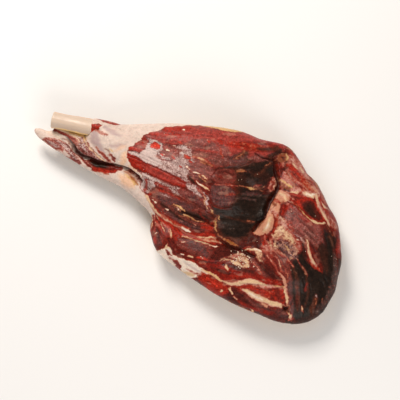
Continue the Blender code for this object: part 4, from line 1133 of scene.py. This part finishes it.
def dress_meat(mesh, sizes, colours):
    """Moves the meat's points into its relief and stores what its material reads."""
    points, normals = points_of(mesh), normals_of(mesh)
    plan = plan_of(points)
    wobble = WOBBLE * np.column_stack([rough_noise(points, "wobble_x"), rough_noise(points, "wobble_y")])
    fibre, marbling = fibre_streaks(plan, "fibre"), fibre_streaks(plan, "marbling")
    feather = FEATHER * fibre[:, None] * fibre_direction(plan)
    blur = 1.0 + BLUR_SWING * rough_noise(points, "blur")
    layers = lay_marks(plan + wobble + feather, blur, colours)
    veil, raised = layers["veil"][:, 0], layers["height"][:, 0]
    # gap is the painted shade of the creases, from 0 to 1, stored for the material
    crease, gap = cut_creases(plan + CREASE_WOBBLE * wobble)
    upward = normals[:, 2] + EDGE_SWING * rough_noise(points, "edge")
    outer_fat = 1.0 - smooth_step(FAT_FULL, FAT_STARTS, upward)
    face = 1.0 - outer_fat
    fat = np.maximum(layers["fat"][:, 0], outer_fat)
    bare = np.clip(1.0 - fat - FILM_FILLS * veil, 0.0, 1.0)
    side_colour = np.array(colours.yellow_fat[:3]) - layers["fat_colour"]
    crumbly = np.exp(-oval_gap(plan, CRUMBLY_MIDDLE, CRUMBLY_HALF) ** 4)
    bulge = BULGE_HEIGHT * (1.0 - smooth_step(0.55, 1.05, oval_gap(plan, BULGE_MIDDLE, BULGE_HALF)))

    height = sizes.lumps / MM * rough_noise(points, "lumps")
    height += sizes.dimples / MM * rough_noise(points, "dimples")
    height += sizes.fibres / MM * fibre * (FIBRES_ON_FAT + (1.0 - FIBRES_ON_FAT) * bare) * face
    height += sizes.crags / MM * crumbly * rough_noise(points, "crags")
    height += (raised + bulge - crease) * face
    height[points[:, 2] < RESTING_LEVEL] = 0.0

    keep_colours(mesh, "lean", layers["lean"])
    keep_colours(mesh, "fat_colour", layers["fat_colour"] + side_colour * outer_fat[:, None])
    kept = {"veil": veil, "fat": fat, "rind": 1.0 - smooth_step(RIND_FULL, RIND_STARTS, upward),
            "gap": gap * face, "fibre": fibre, "marbling": marbling, "crumbly": crumbly * face}
    for name, values in kept.items():
        keep_attribute(mesh, name, values)
    move_points(mesh, stay_in_box(points + normals * height[:, None], "ham"))


def add_node(tree, kind, inputs=None, **settings):
    """Adds one node, sets its properties, and sets or links its inputs."""
    node = tree.nodes.new(kind)
    for name, value in settings.items():
        setattr(node, name, value)
    for socket, value in (inputs or {}).items():
        if isinstance(value, bpy.types.NodeSocket):
            tree.links.new(value, node.inputs[socket])
        else:
            node.inputs[socket].default_value = value
    return node


def empty_material(name):
    """A material with an empty node tree."""
    material = bpy.data.materials.new(name)
    material.use_nodes = True
    material.node_tree.nodes.clear()
    return material, material.node_tree


def lean_layer(add, read, noise, colours):
    """The lean's colour: mottled, redder in grains where it is still moist, and marbled with pale fat."""
    laid, fibre, mottle = read["lean"]["Color"], read["fibre"]["Fac"], noise["mottle"]
    grey = add("ShaderNodeRGBToBW", {"Color": laid})
    moist = add("ShaderNodeMapRange", {"Value": grey.outputs[0], "From Min": 0.012, "From Max": 0.05})
    reddened = add("ShaderNodeMapRange", {"Value": noise["grain"], "From Min": 0.5, "From Max": 0.72,
                                          "To Max": 0.45})
    red_share = add("ShaderNodeMath", {0: reddened.outputs[0], 1: moist.outputs[0]}, operation="MULTIPLY")
    grained = add("ShaderNodeMix", {MIX_FACTOR: red_share.outputs[0], MIX_A: laid, MIX_B: colours.bright},
                  data_type="RGBA")
    spots = add("ShaderNodeMath", {0: noise["grit"], 1: 0.55}, operation="MULTIPLY")
    uneven = add("ShaderNodeMath", {0: mottle, 1: 0.45, 2: spots.outputs[0]}, operation="MULTIPLY_ADD")
    streaked = add("ShaderNodeMath", {0: fibre, 1: 0.03, 2: uneven.outputs[0]}, operation="MULTIPLY_ADD")
    light = add("ShaderNodeMapRange", {"Value": streaked.outputs[0], "From Min": 0.36, "From Max": 0.64,
                                       "To Min": 0.52, "To Max": 1.46})
    lean = add("ShaderNodeVectorMath", {0: grained.outputs[MIX_RESULT], "Scale": light.outputs[0]},
               operation="SCALE")
    # Fat between the fibres, seen as pale streaks and flecks
    marbling = add("ShaderNodeMath", {0: mottle, 1: 0.9, 2: read["marbling"]["Fac"]},
                   operation="MULTIPLY_ADD")
    fleck = add("ShaderNodeMapRange", {"Value": marbling.outputs[0], "From Min": 0.95, "From Max": 1.45,
                                       "To Max": 0.3}, interpolation_type="SMOOTHSTEP")
    fleck_share = add("ShaderNodeMath", {0: fleck.outputs[0], 1: moist.outputs[0]}, operation="MULTIPLY")
    marbled = add("ShaderNodeMix", {MIX_FACTOR: fleck_share.outputs[0], MIX_A: lean.outputs[0],
                                    MIX_B: colours.marbling}, data_type="RGBA")
    return marbled.outputs[MIX_RESULT]


def film_layer(add, read, noise, lean, colours):
    """The lean under the silver skin, a dry film torn into threads along the fibres, and the film's share."""
    threads = add("ShaderNodeMath", {0: read["fibre"]["Fac"], 1: 0.07, 2: read["veil"]["Fac"]},
                  operation="MULTIPLY_ADD")
    patchy = add("ShaderNodeMath", {0: noise["mottle"], 1: 0.6, 2: threads.outputs[0]},
                 operation="MULTIPLY_ADD")
    grainy = add("ShaderNodeMath", {0: noise["grit"], 1: 1.2, 2: patchy.outputs[0]},
                 operation="MULTIPLY_ADD")
    share = add("ShaderNodeMapRange", {"Value": grainy.outputs[0], "From Min": 1.14, "From Max": 1.78},
                interpolation_type="SMOOTHSTEP")
    filmed = add("ShaderNodeMix", {MIX_FACTOR: share.outputs[0], MIX_A: lean, MIX_B: colours.film},
                 data_type="RGBA")
    return filmed.outputs[MIX_RESULT], share.outputs[0]


def fat_layer(add, read, noise, colours):
    """The fat's colour: clouded and blushed pink in blotches, and ochre and oiled on the skin side."""
    aged = add("ShaderNodeMapRange", {"Value": noise["mottle"], "From Min": 0.3, "From Max": 0.7,
                                      "To Min": 0.9, "To Max": 1.08})
    fat = add("ShaderNodeVectorMath", {0: read["fat_colour"]["Color"], "Scale": aged.outputs[0]},
              operation="SCALE")
    blush = add("ShaderNodeMapRange", {"Value": noise["blotch"], "From Min": 0.48, "From Max": 0.75,
                                       "To Max": 0.22})
    blushed = add("ShaderNodeMix", {MIX_FACTOR: blush.outputs[0], MIX_A: fat.outputs[0],
                                    MIX_B: colours.rose}, data_type="RGBA")
    oiled = add("ShaderNodeMapRange", {"Value": noise["blotch"], "From Min": 0.35, "From Max": 0.68})
    outer = add("ShaderNodeMix", {MIX_FACTOR: oiled.outputs[0], MIX_A: colours.rind,
                                  MIX_B: colours.rind_deep}, data_type="RGBA")
    fat = add("ShaderNodeMix", {MIX_FACTOR: read["rind"]["Fac"], MIX_A: blushed.outputs[MIX_RESULT],
                                MIX_B: outer.outputs[MIX_RESULT]}, data_type="RGBA")
    return fat.outputs[MIX_RESULT]


def fat_over_lean(add, read, noise, filmed, fat, colours):
    """The meat with fat over it in a broken edge, stained orange red where it thins out, and its share."""
    ragged = add("ShaderNodeMath", {0: noise["mottle"], 1: 0.9, 2: read["fat"]["Fac"]},
                 operation="MULTIPLY_ADD")
    broken = add("ShaderNodeMath", {0: noise["grain"], 1: 0.8, 2: ragged.outputs[0]},
                 operation="MULTIPLY_ADD")
    thin = add("ShaderNodeMapRange", {"Value": broken.outputs[0], "From Min": 1.02, "From Max": 1.5,
                                      "To Max": 0.8}, interpolation_type="SMOOTHSTEP")
    clean = add("ShaderNodeMath", {0: read["veil"]["Fac"], 1: -0.9, 2: 1.0}, operation="MULTIPLY_ADD",
                use_clamp=True)
    stain = add("ShaderNodeMath", {0: thin.outputs[0], 1: clean.outputs[0]}, operation="MULTIPLY")
    share = add("ShaderNodeMapRange", {"Value": broken.outputs[0], "From Min": 1.17, "From Max": 1.75},
                interpolation_type="SMOOTHSTEP")
    stained = add("ShaderNodeMix", {MIX_FACTOR: stain.outputs[0], MIX_A: filmed, MIX_B: colours.stain},
                  data_type="RGBA")
    covered = add("ShaderNodeMix", {MIX_FACTOR: share.outputs[0], MIX_A: stained.outputs[MIX_RESULT],
                                    MIX_B: fat}, data_type="RGBA")
    return covered.outputs[MIX_RESULT], share.outputs[0]


def painted_hollow_shade(add, read, noise, surface, fat_share, colours):
    """The surface with painted shade between the fibres and deep in the creases."""
    # Painted shade in the furrows between the fibres' ridges
    furrow_shade = add("ShaderNodeMapRange", {"Value": read["fibre"]["Fac"], "From Min": 0.2, "From Max": -0.9,
                                        "To Max": 0.42})
    bare = add("ShaderNodeMath", {0: fat_share, 1: -0.85, 2: 1.0}, operation="MULTIPLY_ADD")
    furrow_shade_share = add("ShaderNodeMath", {0: furrow_shade.outputs[0], 1: bare.outputs[0]}, operation="MULTIPLY")
    furrow_shaded = add("ShaderNodeMix", {MIX_FACTOR: furrow_shade_share.outputs[0], MIX_A: surface,
                                     MIX_B: colours.gap}, data_type="RGBA", blend_type="MULTIPLY")
    speckle = add("ShaderNodeMapRange", {"Value": noise["grit"], "From Min": 0.3, "From Max": 0.7,
                                         "To Min": 0.86, "To Max": 1.12})
    speckled = add("ShaderNodeVectorMath", {0: furrow_shaded.outputs[MIX_RESULT], "Scale": speckle.outputs[0]},
                   operation="SCALE")
    # Painted shade deep in the creases
    crease_shaded = add("ShaderNodeMix", {MIX_FACTOR: read["gap"]["Fac"], MIX_A: speckled.outputs[0],
                                    MIX_B: colours.gap}, data_type="RGBA")
    return crease_shaded.outputs[MIX_RESULT]


def cured_meat(colours):
    """Cured lean and fat, air dried: a waxy, half-glossy skin, deepest in colour where it is driest."""
    material, tree = empty_material("cured_ham_meat")
    add = partial(add_node, tree)
    place = add("ShaderNodeTexCoord").outputs["Object"]
    # Blotches 24 mm across, mottle 6 mm, grain 3 mm and grit 1.8 mm
    noise = {name: add("ShaderNodeTexNoise", {"Vector": place, "Scale": scale, "Detail": detail}).outputs[0]
             for name, scale, detail in (("blotch", 42.0, 2.0), ("mottle", 165.0, 4.0),
                                         ("grain", 310.0, 3.0), ("grit", 560.0, 3.0))}
    read = {name: add("ShaderNodeAttribute", attribute_name=name).outputs
            for name in ("lean", "veil", "fat", "fat_colour", "rind", "gap", "fibre", "marbling")}

    lean = lean_layer(add, read, noise, colours)
    filmed, film_share = film_layer(add, read, noise, lean, colours)
    fat = fat_layer(add, read, noise, colours)
    covered, fat_share = fat_over_lean(add, read, noise, filmed, fat, colours)
    # Lean shows lilac through the thinnest sheath
    both = add("ShaderNodeMath", {0: film_share, 1: fat_share}, operation="MULTIPLY")
    bruise = add("ShaderNodeMath", {0: both.outputs[0], 1: 0.7}, operation="MULTIPLY")
    bruised = add("ShaderNodeMix", {MIX_FACTOR: bruise.outputs[0], MIX_A: covered, MIX_B: colours.lilac},
                  data_type="RGBA")
    # Painted shade in the furrows and creases
    colour = painted_hollow_shade(add, read, noise, bruised.outputs[MIX_RESULT], fat_share, colours)

    roughness = add("ShaderNodeMapRange", {"Value": noise["mottle"], "From Min": 0.3, "From Max": 0.7,
                                           "To Min": 0.28, "To Max": 0.5})
    fine = add("ShaderNodeBump", {"Height": noise["grit"], "Strength": 0.35, "Distance": 0.5 * MM})
    relief = add("ShaderNodeBump", {"Height": noise["mottle"], "Strength": 0.5, "Distance": 1.2 * MM,
                                    "Normal": fine.outputs[0]})
    shader = add("ShaderNodeBsdfPrincipled", {
        "Base Color": colour, "Roughness": roughness.outputs[0], "IOR": 1.45, "Specular IOR Level": 0.16,
        "Coat Weight": 0.02, "Coat Roughness": 0.22, "Subsurface Weight": 0.04,
        "Subsurface Radius": (4.0 * MM, 1.6 * MM, 1.0 * MM), "Subsurface Scale": 1.0,
        "Normal": relief.outputs[0]})
    add("ShaderNodeOutputMaterial", {"Surface": shader.outputs[0]})
    return material


def scraped_bone(colours):
    """Cured shank bone scraped clean: hard, waxy and pale, stained with oil along its edges; the oil on its
    underside is painted lighter, as painted light.
    """
    material, tree = empty_material("scraped_shank_bone")
    add = partial(add_node, tree)
    place = add("ShaderNodeTexCoord").outputs["Object"]
    # Streaks about 2 mm wide and 25 mm long, drawn out along the bone
    along = add("ShaderNodeMapping", {"Vector": place, "Rotation": (0.0, 0.0, math.radians(-BONE_TURN)),
                                      "Scale": (0.08, 1.0, 1.0)}).outputs[0]
    streaks = add("ShaderNodeTexNoise", {"Vector": along, "Scale": 420.0, "Detail": 3.0}).outputs["Fac"]
    cloud = add("ShaderNodeTexNoise", {"Vector": place, "Scale": 90.0, "Detail": 2.0}).outputs["Fac"]
    pores = add("ShaderNodeTexNoise", {"Vector": place, "Scale": 900.0, "Detail": 2.0}).outputs["Fac"]

    streak_share = add("ShaderNodeMapRange", {"Value": streaks, "From Min": 0.45, "From Max": 0.85,
                                              "To Max": 0.5})
    body = add("ShaderNodeMix", {MIX_FACTOR: streak_share.outputs[0], MIX_A: colours.bone,
                                 MIX_B: colours.cream_fat}, data_type="RGBA")
    sawn = add("ShaderNodeAttribute", attribute_name="sawn")
    stained = add("ShaderNodeMix", {MIX_FACTOR: sawn.outputs["Fac"], MIX_A: body.outputs[MIX_RESULT],
                                    MIX_B: colours.bone_end}, data_type="RGBA")
    # The oil colour also holds painted light, lightening the bone's downward face
    for name, colour, most in (("edge", colours.bone_edge, 0.7), ("oil", colours.bone_oil_and_light, 0.95)):
        reach = add("ShaderNodeAttribute", attribute_name=name)
        ragged = add("ShaderNodeMath", {0: cloud, 1: 0.9, 2: reach.outputs["Fac"]},
                     operation="MULTIPLY_ADD")
        stain = add("ShaderNodeMapRange", {"Value": ragged.outputs[0], "From Min": 0.65, "From Max": 1.45,
                                           "To Max": most}, interpolation_type="SMOOTHSTEP")
        stained = add("ShaderNodeMix", {MIX_FACTOR: stain.outputs[0], MIX_A: stained.outputs[MIX_RESULT],
                                        MIX_B: colour}, data_type="RGBA")
    bump = add("ShaderNodeBump", {"Height": streaks, "Strength": 0.35, "Distance": 0.5 * MM})
    grain = add("ShaderNodeBump", {"Height": pores, "Strength": 0.2, "Distance": 0.25 * MM,
                                   "Normal": bump.outputs[0]})
    shader = add("ShaderNodeBsdfPrincipled", {
        "Base Color": stained.outputs[MIX_RESULT], "Roughness": 0.42, "IOR": 1.54, "Coat Weight": 0.15,
        "Coat Roughness": 0.25, "Subsurface Weight": 0.05,
        "Subsurface Radius": (2.0 * MM, 1.4 * MM, 1.0 * MM), "Subsurface Scale": 1.0,
        "Normal": grain.outputs[0]})
    add("ShaderNodeOutputMaterial", {"Surface": shader.outputs[0]})
    return material


def hard_fat(colours):
    """Cold hard fat and white crystals of cured meat: matt, dense and nearly white."""
    material, tree = empty_material("hard_white_fat")
    add = partial(add_node, tree)
    place = add("ShaderNodeTexCoord").outputs["Object"]
    # Clouds of cream 5 mm across
    cloud = add("ShaderNodeTexNoise", {"Vector": place, "Scale": 200.0, "Detail": 2.0})
    colour = add("ShaderNodeMix", {MIX_FACTOR: cloud.outputs["Fac"], MIX_A: colours.white_fat,
                                   MIX_B: colours.cream_fat}, data_type="RGBA")
    shader = add("ShaderNodeBsdfPrincipled", {
        "Base Color": colour.outputs[MIX_RESULT], "Roughness": 0.5, "IOR": 1.45, "Subsurface Weight": 0.08,
        "Subsurface Radius": (3.0 * MM, 2.0 * MM, 1.5 * MM), "Subsurface Scale": 1.0})
    add("ShaderNodeOutputMaterial", {"Surface": shader.outputs[0]})
    return material


def matt_floor(colours):
    """A matt painted studio floor: even and pale, with no gloss."""
    material, tree = empty_material("matt_floor")
    add = partial(add_node, tree)
    place = add("ShaderNodeTexCoord").outputs["Object"]
    # Roller marks 8 mm across, too faint to draw the eye
    marks = add("ShaderNodeTexNoise", {"Vector": place, "Scale": 120.0, "Detail": 2.0})
    bump = add("ShaderNodeBump", {"Height": marks.outputs["Fac"], "Strength": 0.05, "Distance": 0.2 * MM})
    shader = add("ShaderNodeBsdfPrincipled", {
        "Base Color": colours.floor, "Roughness": 0.8, "Normal": bump.outputs[0]})
    add("ShaderNodeOutputMaterial", {"Surface": shader.outputs[0]})
    return material


def dress_bone(mesh):
    """Gives the bone its shallow lengthwise grooves and stores where it is sawn and stained."""
    points, normals = points_of(mesh), normals_of(mesh)
    turn = math.radians(BONE_TURN)
    axis = np.array([math.cos(turn), math.sin(turn), 0.0])
    middle = points.mean(0)
    along = (points - middle) @ axis
    far_side = np.array([-axis[1], axis[0], 0.0])
    across = (points - middle) @ far_side
    grooved = np.column_stack([along / GROOVE_STRETCH, across, points[:, 2]])
    sawn = smooth_step(0.75, 0.95, -(normals @ axis))
    side = 1.0 - sawn
    height = BONE_GROOVES * rough_noise(grooved, "bone_grooves") * side
    height += BONE_LUMPS * rough_noise(points, "bone_lumps") * side
    height += SAWN_GRAIN * rough_noise(points, "sawn_grain") * sawn
    faces_far = normals @ far_side
    oiled = smooth_step(0.55, 0.9, OIL_FACES[0] * faces_far + OIL_FACES[1] * normals[:, 2])
    keep_attribute(mesh, "sawn", sawn)
    keep_attribute(mesh, "edge", smooth_step(0.6, 0.95, faces_far) * side)
    keep_attribute(mesh, "oil", oiled * smooth_step(OIL_STARTS, OIL_FULL, along) * side)
    move_points(mesh, stay_in_box(points + normals * height[:, None], "shank_bone"))


def crumb_tree(name):
    """A Geometry Nodes tree that scatters small grains over a skin where an attribute allows them."""
    tree = bpy.data.node_groups.new(name, "GeometryNodeTree")
    for socket, kind in (("Skin", "NodeSocketGeometry"), ("Density", "NodeSocketFloat"),
                         ("Width", "NodeSocketFloat"), ("Flatness", "NodeSocketFloat"),
                         ("Seed", "NodeSocketInt"), ("Finish", "NodeSocketMaterial")):
        tree.interface.new_socket(socket, in_out="INPUT", socket_type=kind)
    tree.interface.new_socket("Grains", in_out="OUTPUT", socket_type="NodeSocketGeometry")
    add = partial(add_node, tree)
    given = add("NodeGroupInput").outputs
    allowed = add("GeometryNodeInputNamedAttribute", {"Name": "crumbs"}, data_type="FLOAT").outputs[0]
    density = add("ShaderNodeMath", {0: allowed, 1: given["Density"]}, operation="MULTIPLY")
    scatter = add("GeometryNodeDistributePointsOnFaces", {"Mesh": given["Skin"], "Seed": given["Seed"],
                                                          "Density": density.outputs[0]})
    grain = add("GeometryNodeMeshUVSphere", {"Segments": 7, "Rings": 4, "Radius": 0.5})
    smooth = add("GeometryNodeSetShadeSmooth", {"Geometry": grain.outputs["Mesh"]})
    size = add("FunctionNodeRandomValue", {"Min": (0.5, 0.4, 0.4), "Max": (1.25, 0.9, 0.9),
                                           "Seed": given["Seed"]}, data_type="FLOAT_VECTOR")
    flat = add("ShaderNodeCombineXYZ", {0: 1.0, 1: 1.0, 2: given["Flatness"]})
    shaped = add("ShaderNodeVectorMath", {0: size.outputs[0], 1: flat.outputs[0]}, operation="MULTIPLY")
    sized = add("ShaderNodeVectorMath", {0: shaped.outputs[0], "Scale": given["Width"]}, operation="SCALE")
    spin = add("FunctionNodeRandomValue", {"Min": (0.0, 0.0, 0.0), "Max": (0.4, 0.4, math.tau),
                                           "Seed": given["Seed"]}, data_type="FLOAT_VECTOR")
    turned = add("FunctionNodeRotateEuler", {0: scatter.outputs["Rotation"], 1: spin.outputs[0]},
                 space="LOCAL")
    placed = add("GeometryNodeInstanceOnPoints", {"Points": scatter.outputs["Points"],
                                                  "Instance": smooth.outputs[0],
                                                  "Rotation": turned.outputs[0],
                                                  "Scale": sized.outputs[0]})
    real = add("GeometryNodeRealizeInstances", {0: placed.outputs[0]})
    finished = add("GeometryNodeSetMaterial", {"Geometry": real.outputs[0], "Material": given["Finish"]})
    add("NodeGroupOutput", {"Grains": finished.outputs[0]})
    return tree


def scatter_piece(name, skin, allowed, grains, width, finish):
    """Runs the crumb tree over a copy of the meat's skin, and makes the grains a piece of their own."""
    mesh = skin.copy()
    keep_attribute(mesh, "crumbs", allowed)
    carrier = bpy.data.objects.new(name + "_carrier", mesh)
    bpy.context.scene.collection.objects.link(carrier)
    modifier = carrier.modifiers.new("grains", "NODES")
    modifier.node_group = crumb_tree(name)
    sockets = {item.name: item.identifier for item in modifier.node_group.interface.items_tree
               if item.in_out == "INPUT"}
    density, flatness, seed = grains
    values = {"Density": density, "Width": width, "Flatness": flatness, "Seed": seed, "Finish": finish}
    for socket, value in values.items():
        modifier[sockets[socket]] = value
    new_piece(name, baked_mesh(carrier, name))


class HAM_OT_meat(bpy.types.Operator):
    """Build the cured meat with its fat, film and creases"""

    bl_idname = "ham.meat"
    bl_label = "Cured meat"

    def execute(self, context):
        sizes, colours = context.scene.ham_sizes, context.scene.ham_colours
        copy = merged_copy("ham")
        add_sleeve(copy.data)
        mesh = thin_underside(even_skin(copy, sizes.grid, MEAT_SMOOTHINGS))
        dress_meat(mesh, sizes, colours)
        mesh.materials.clear()
        mesh.materials.append(cured_meat(colours))
        new_piece("cured_meat", mesh, "ham")
        return {"FINISHED"}


class HAM_OT_bone(bpy.types.Operator):
    """Build the scraped shank bone"""

    bl_idname = "ham.bone"
    bl_label = "Shank bone"

    def execute(self, context):
        grid = context.scene.ham_sizes.bone_grid
        mesh = even_skin(merged_copy("shank_bone"), grid, BONE_SMOOTHINGS)
        dress_bone(mesh)
        mesh.materials.clear()
        mesh.materials.append(scraped_bone(context.scene.ham_colours))
        new_piece("shank_bone_end", mesh, "shank_bone")
        return {"FINISHED"}


class HAM_OT_crumbs(bpy.types.Operator):
    """Scatter white crumbs over the torn fat and white crystals over the lean"""

    bl_idname = "ham.crumbs"
    bl_label = "Crumbs and crystals"

    def execute(self, context):
        sizes = context.scene.ham_sizes
        finish = hard_fat(context.scene.ham_colours)
        skin = bpy.data.objects["cured_meat"].data
        crumbly, lean = attribute_of(skin, "crumbly"), 1.0 - attribute_of(skin, "fat")
        upward = smooth_step(0.5, 0.8, normals_of(skin)[:, 2])
        patchy = smooth_step(0.1, 0.5, rough_noise(points_of(skin), "crystals"))
        scatter_piece("fat_crumbs", skin, crumbly, CRUMBS, sizes.crumb, finish)
        scatter_piece("white_crystals", skin, lean * upward * patchy, CRYSTALS, sizes.speck, finish)
        return {"FINISHED"}


def area_lamp(name, place, size, power, colour):
    """Adds a soft square lamp that faces the origin."""
    lamp = bpy.data.lights.new(name, "AREA")
    lamp.shape = "SQUARE"
    lamp.size = size
    lamp.energy = power
    lamp.color = linear(colour)[:3]
    obj = bpy.data.objects.new(name, lamp)
    obj.location = place
    obj.rotation_euler = (-Vector(place)).to_track_quat("-Z", "Y").to_euler()
    bpy.context.scene.collection.objects.link(obj)


class HAM_OT_studio(bpy.types.Operator):
    """Set up the floor, the lamps and the camera"""

    bl_idname = "ham.studio"
    bl_label = "Studio"

    def execute(self, context):
        scene = context.scene
        bm = bmesh.new()
        bmesh.ops.create_grid(bm, x_segments=1, y_segments=1, size=FLOOR_HALF_SIDE)
        mesh = bpy.data.meshes.new("floor")
        bm.to_mesh(mesh)
        bm.free()
        mesh.materials.append(matt_floor(scene.ham_colours))
        floor = bpy.data.objects.new("floor", mesh)
        scene.collection.objects.link(floor)

        for name, settings in LAMPS.items():
            area_lamp(name, *settings)
        scene.world = bpy.data.worlds.new("studio")
        scene.world.use_nodes = True
        background = scene.world.node_tree.nodes["Background"]
        background.inputs["Color"].default_value = linear(SKY_COLOUR)
        background.inputs["Strength"].default_value = SKY_STRENGTH
        scene.view_settings.view_transform = "Standard"

        lens = bpy.data.cameras.new("camera")
        lens.lens, lens.sensor_width = LENS_MM, SENSOR_MM
        camera = bpy.data.objects.new("camera", lens)
        camera.location = CAMERA_TARGET + camera_back() * CAMERA_DISTANCE
        camera.rotation_euler = (-camera_back()).to_track_quat("-Z", "Y").to_euler()
        scene.collection.objects.link(camera)
        scene.camera = camera
        return {"FINISHED"}


class HAM_PT_panel(bpy.types.Panel):
    """Builds the ham piece by piece"""

    bl_idname = "HAM_PT_panel"
    bl_label = "Boned Cured Ham"
    bl_space_type = "VIEW_3D"
    bl_region_type = "UI"
    bl_category = "Ham"

    def draw(self, context):
        for operator in OPERATORS:
            self.layout.operator(operator.bl_idname)
        for title, group in (("Sizes", context.scene.ham_sizes), ("Colours", context.scene.ham_colours)):
            box = self.layout.box()
            box.label(text=title)
            for name in group.__annotations__:
                box.prop(group, name)


OPERATORS = (HAM_OT_studio, HAM_OT_meat, HAM_OT_bone, HAM_OT_crumbs)
CLASSES = (HamSizes, HamColours, *OPERATORS, HAM_PT_panel)


def register():
    """Adds the settings, operators and panel to Blender."""
    for cls in CLASSES:
        bpy.utils.register_class(cls)
    bpy.types.Scene.ham_sizes = bpy.props.PointerProperty(type=HamSizes)
    bpy.types.Scene.ham_colours = bpy.props.PointerProperty(type=HamColours)


def unregister():
    """Takes them away again."""
    del bpy.types.Scene.ham_colours
    del bpy.types.Scene.ham_sizes
    for cls in reversed(CLASSES):
        bpy.utils.unregister_class(cls)


def main():
    """Builds the stage and every piece."""
    register()
    for operator in OPERATORS:
        group, name = operator.bl_idname.split(".")
        getattr(getattr(bpy.ops, group), name)()


if __name__ == "__main__":
    main()
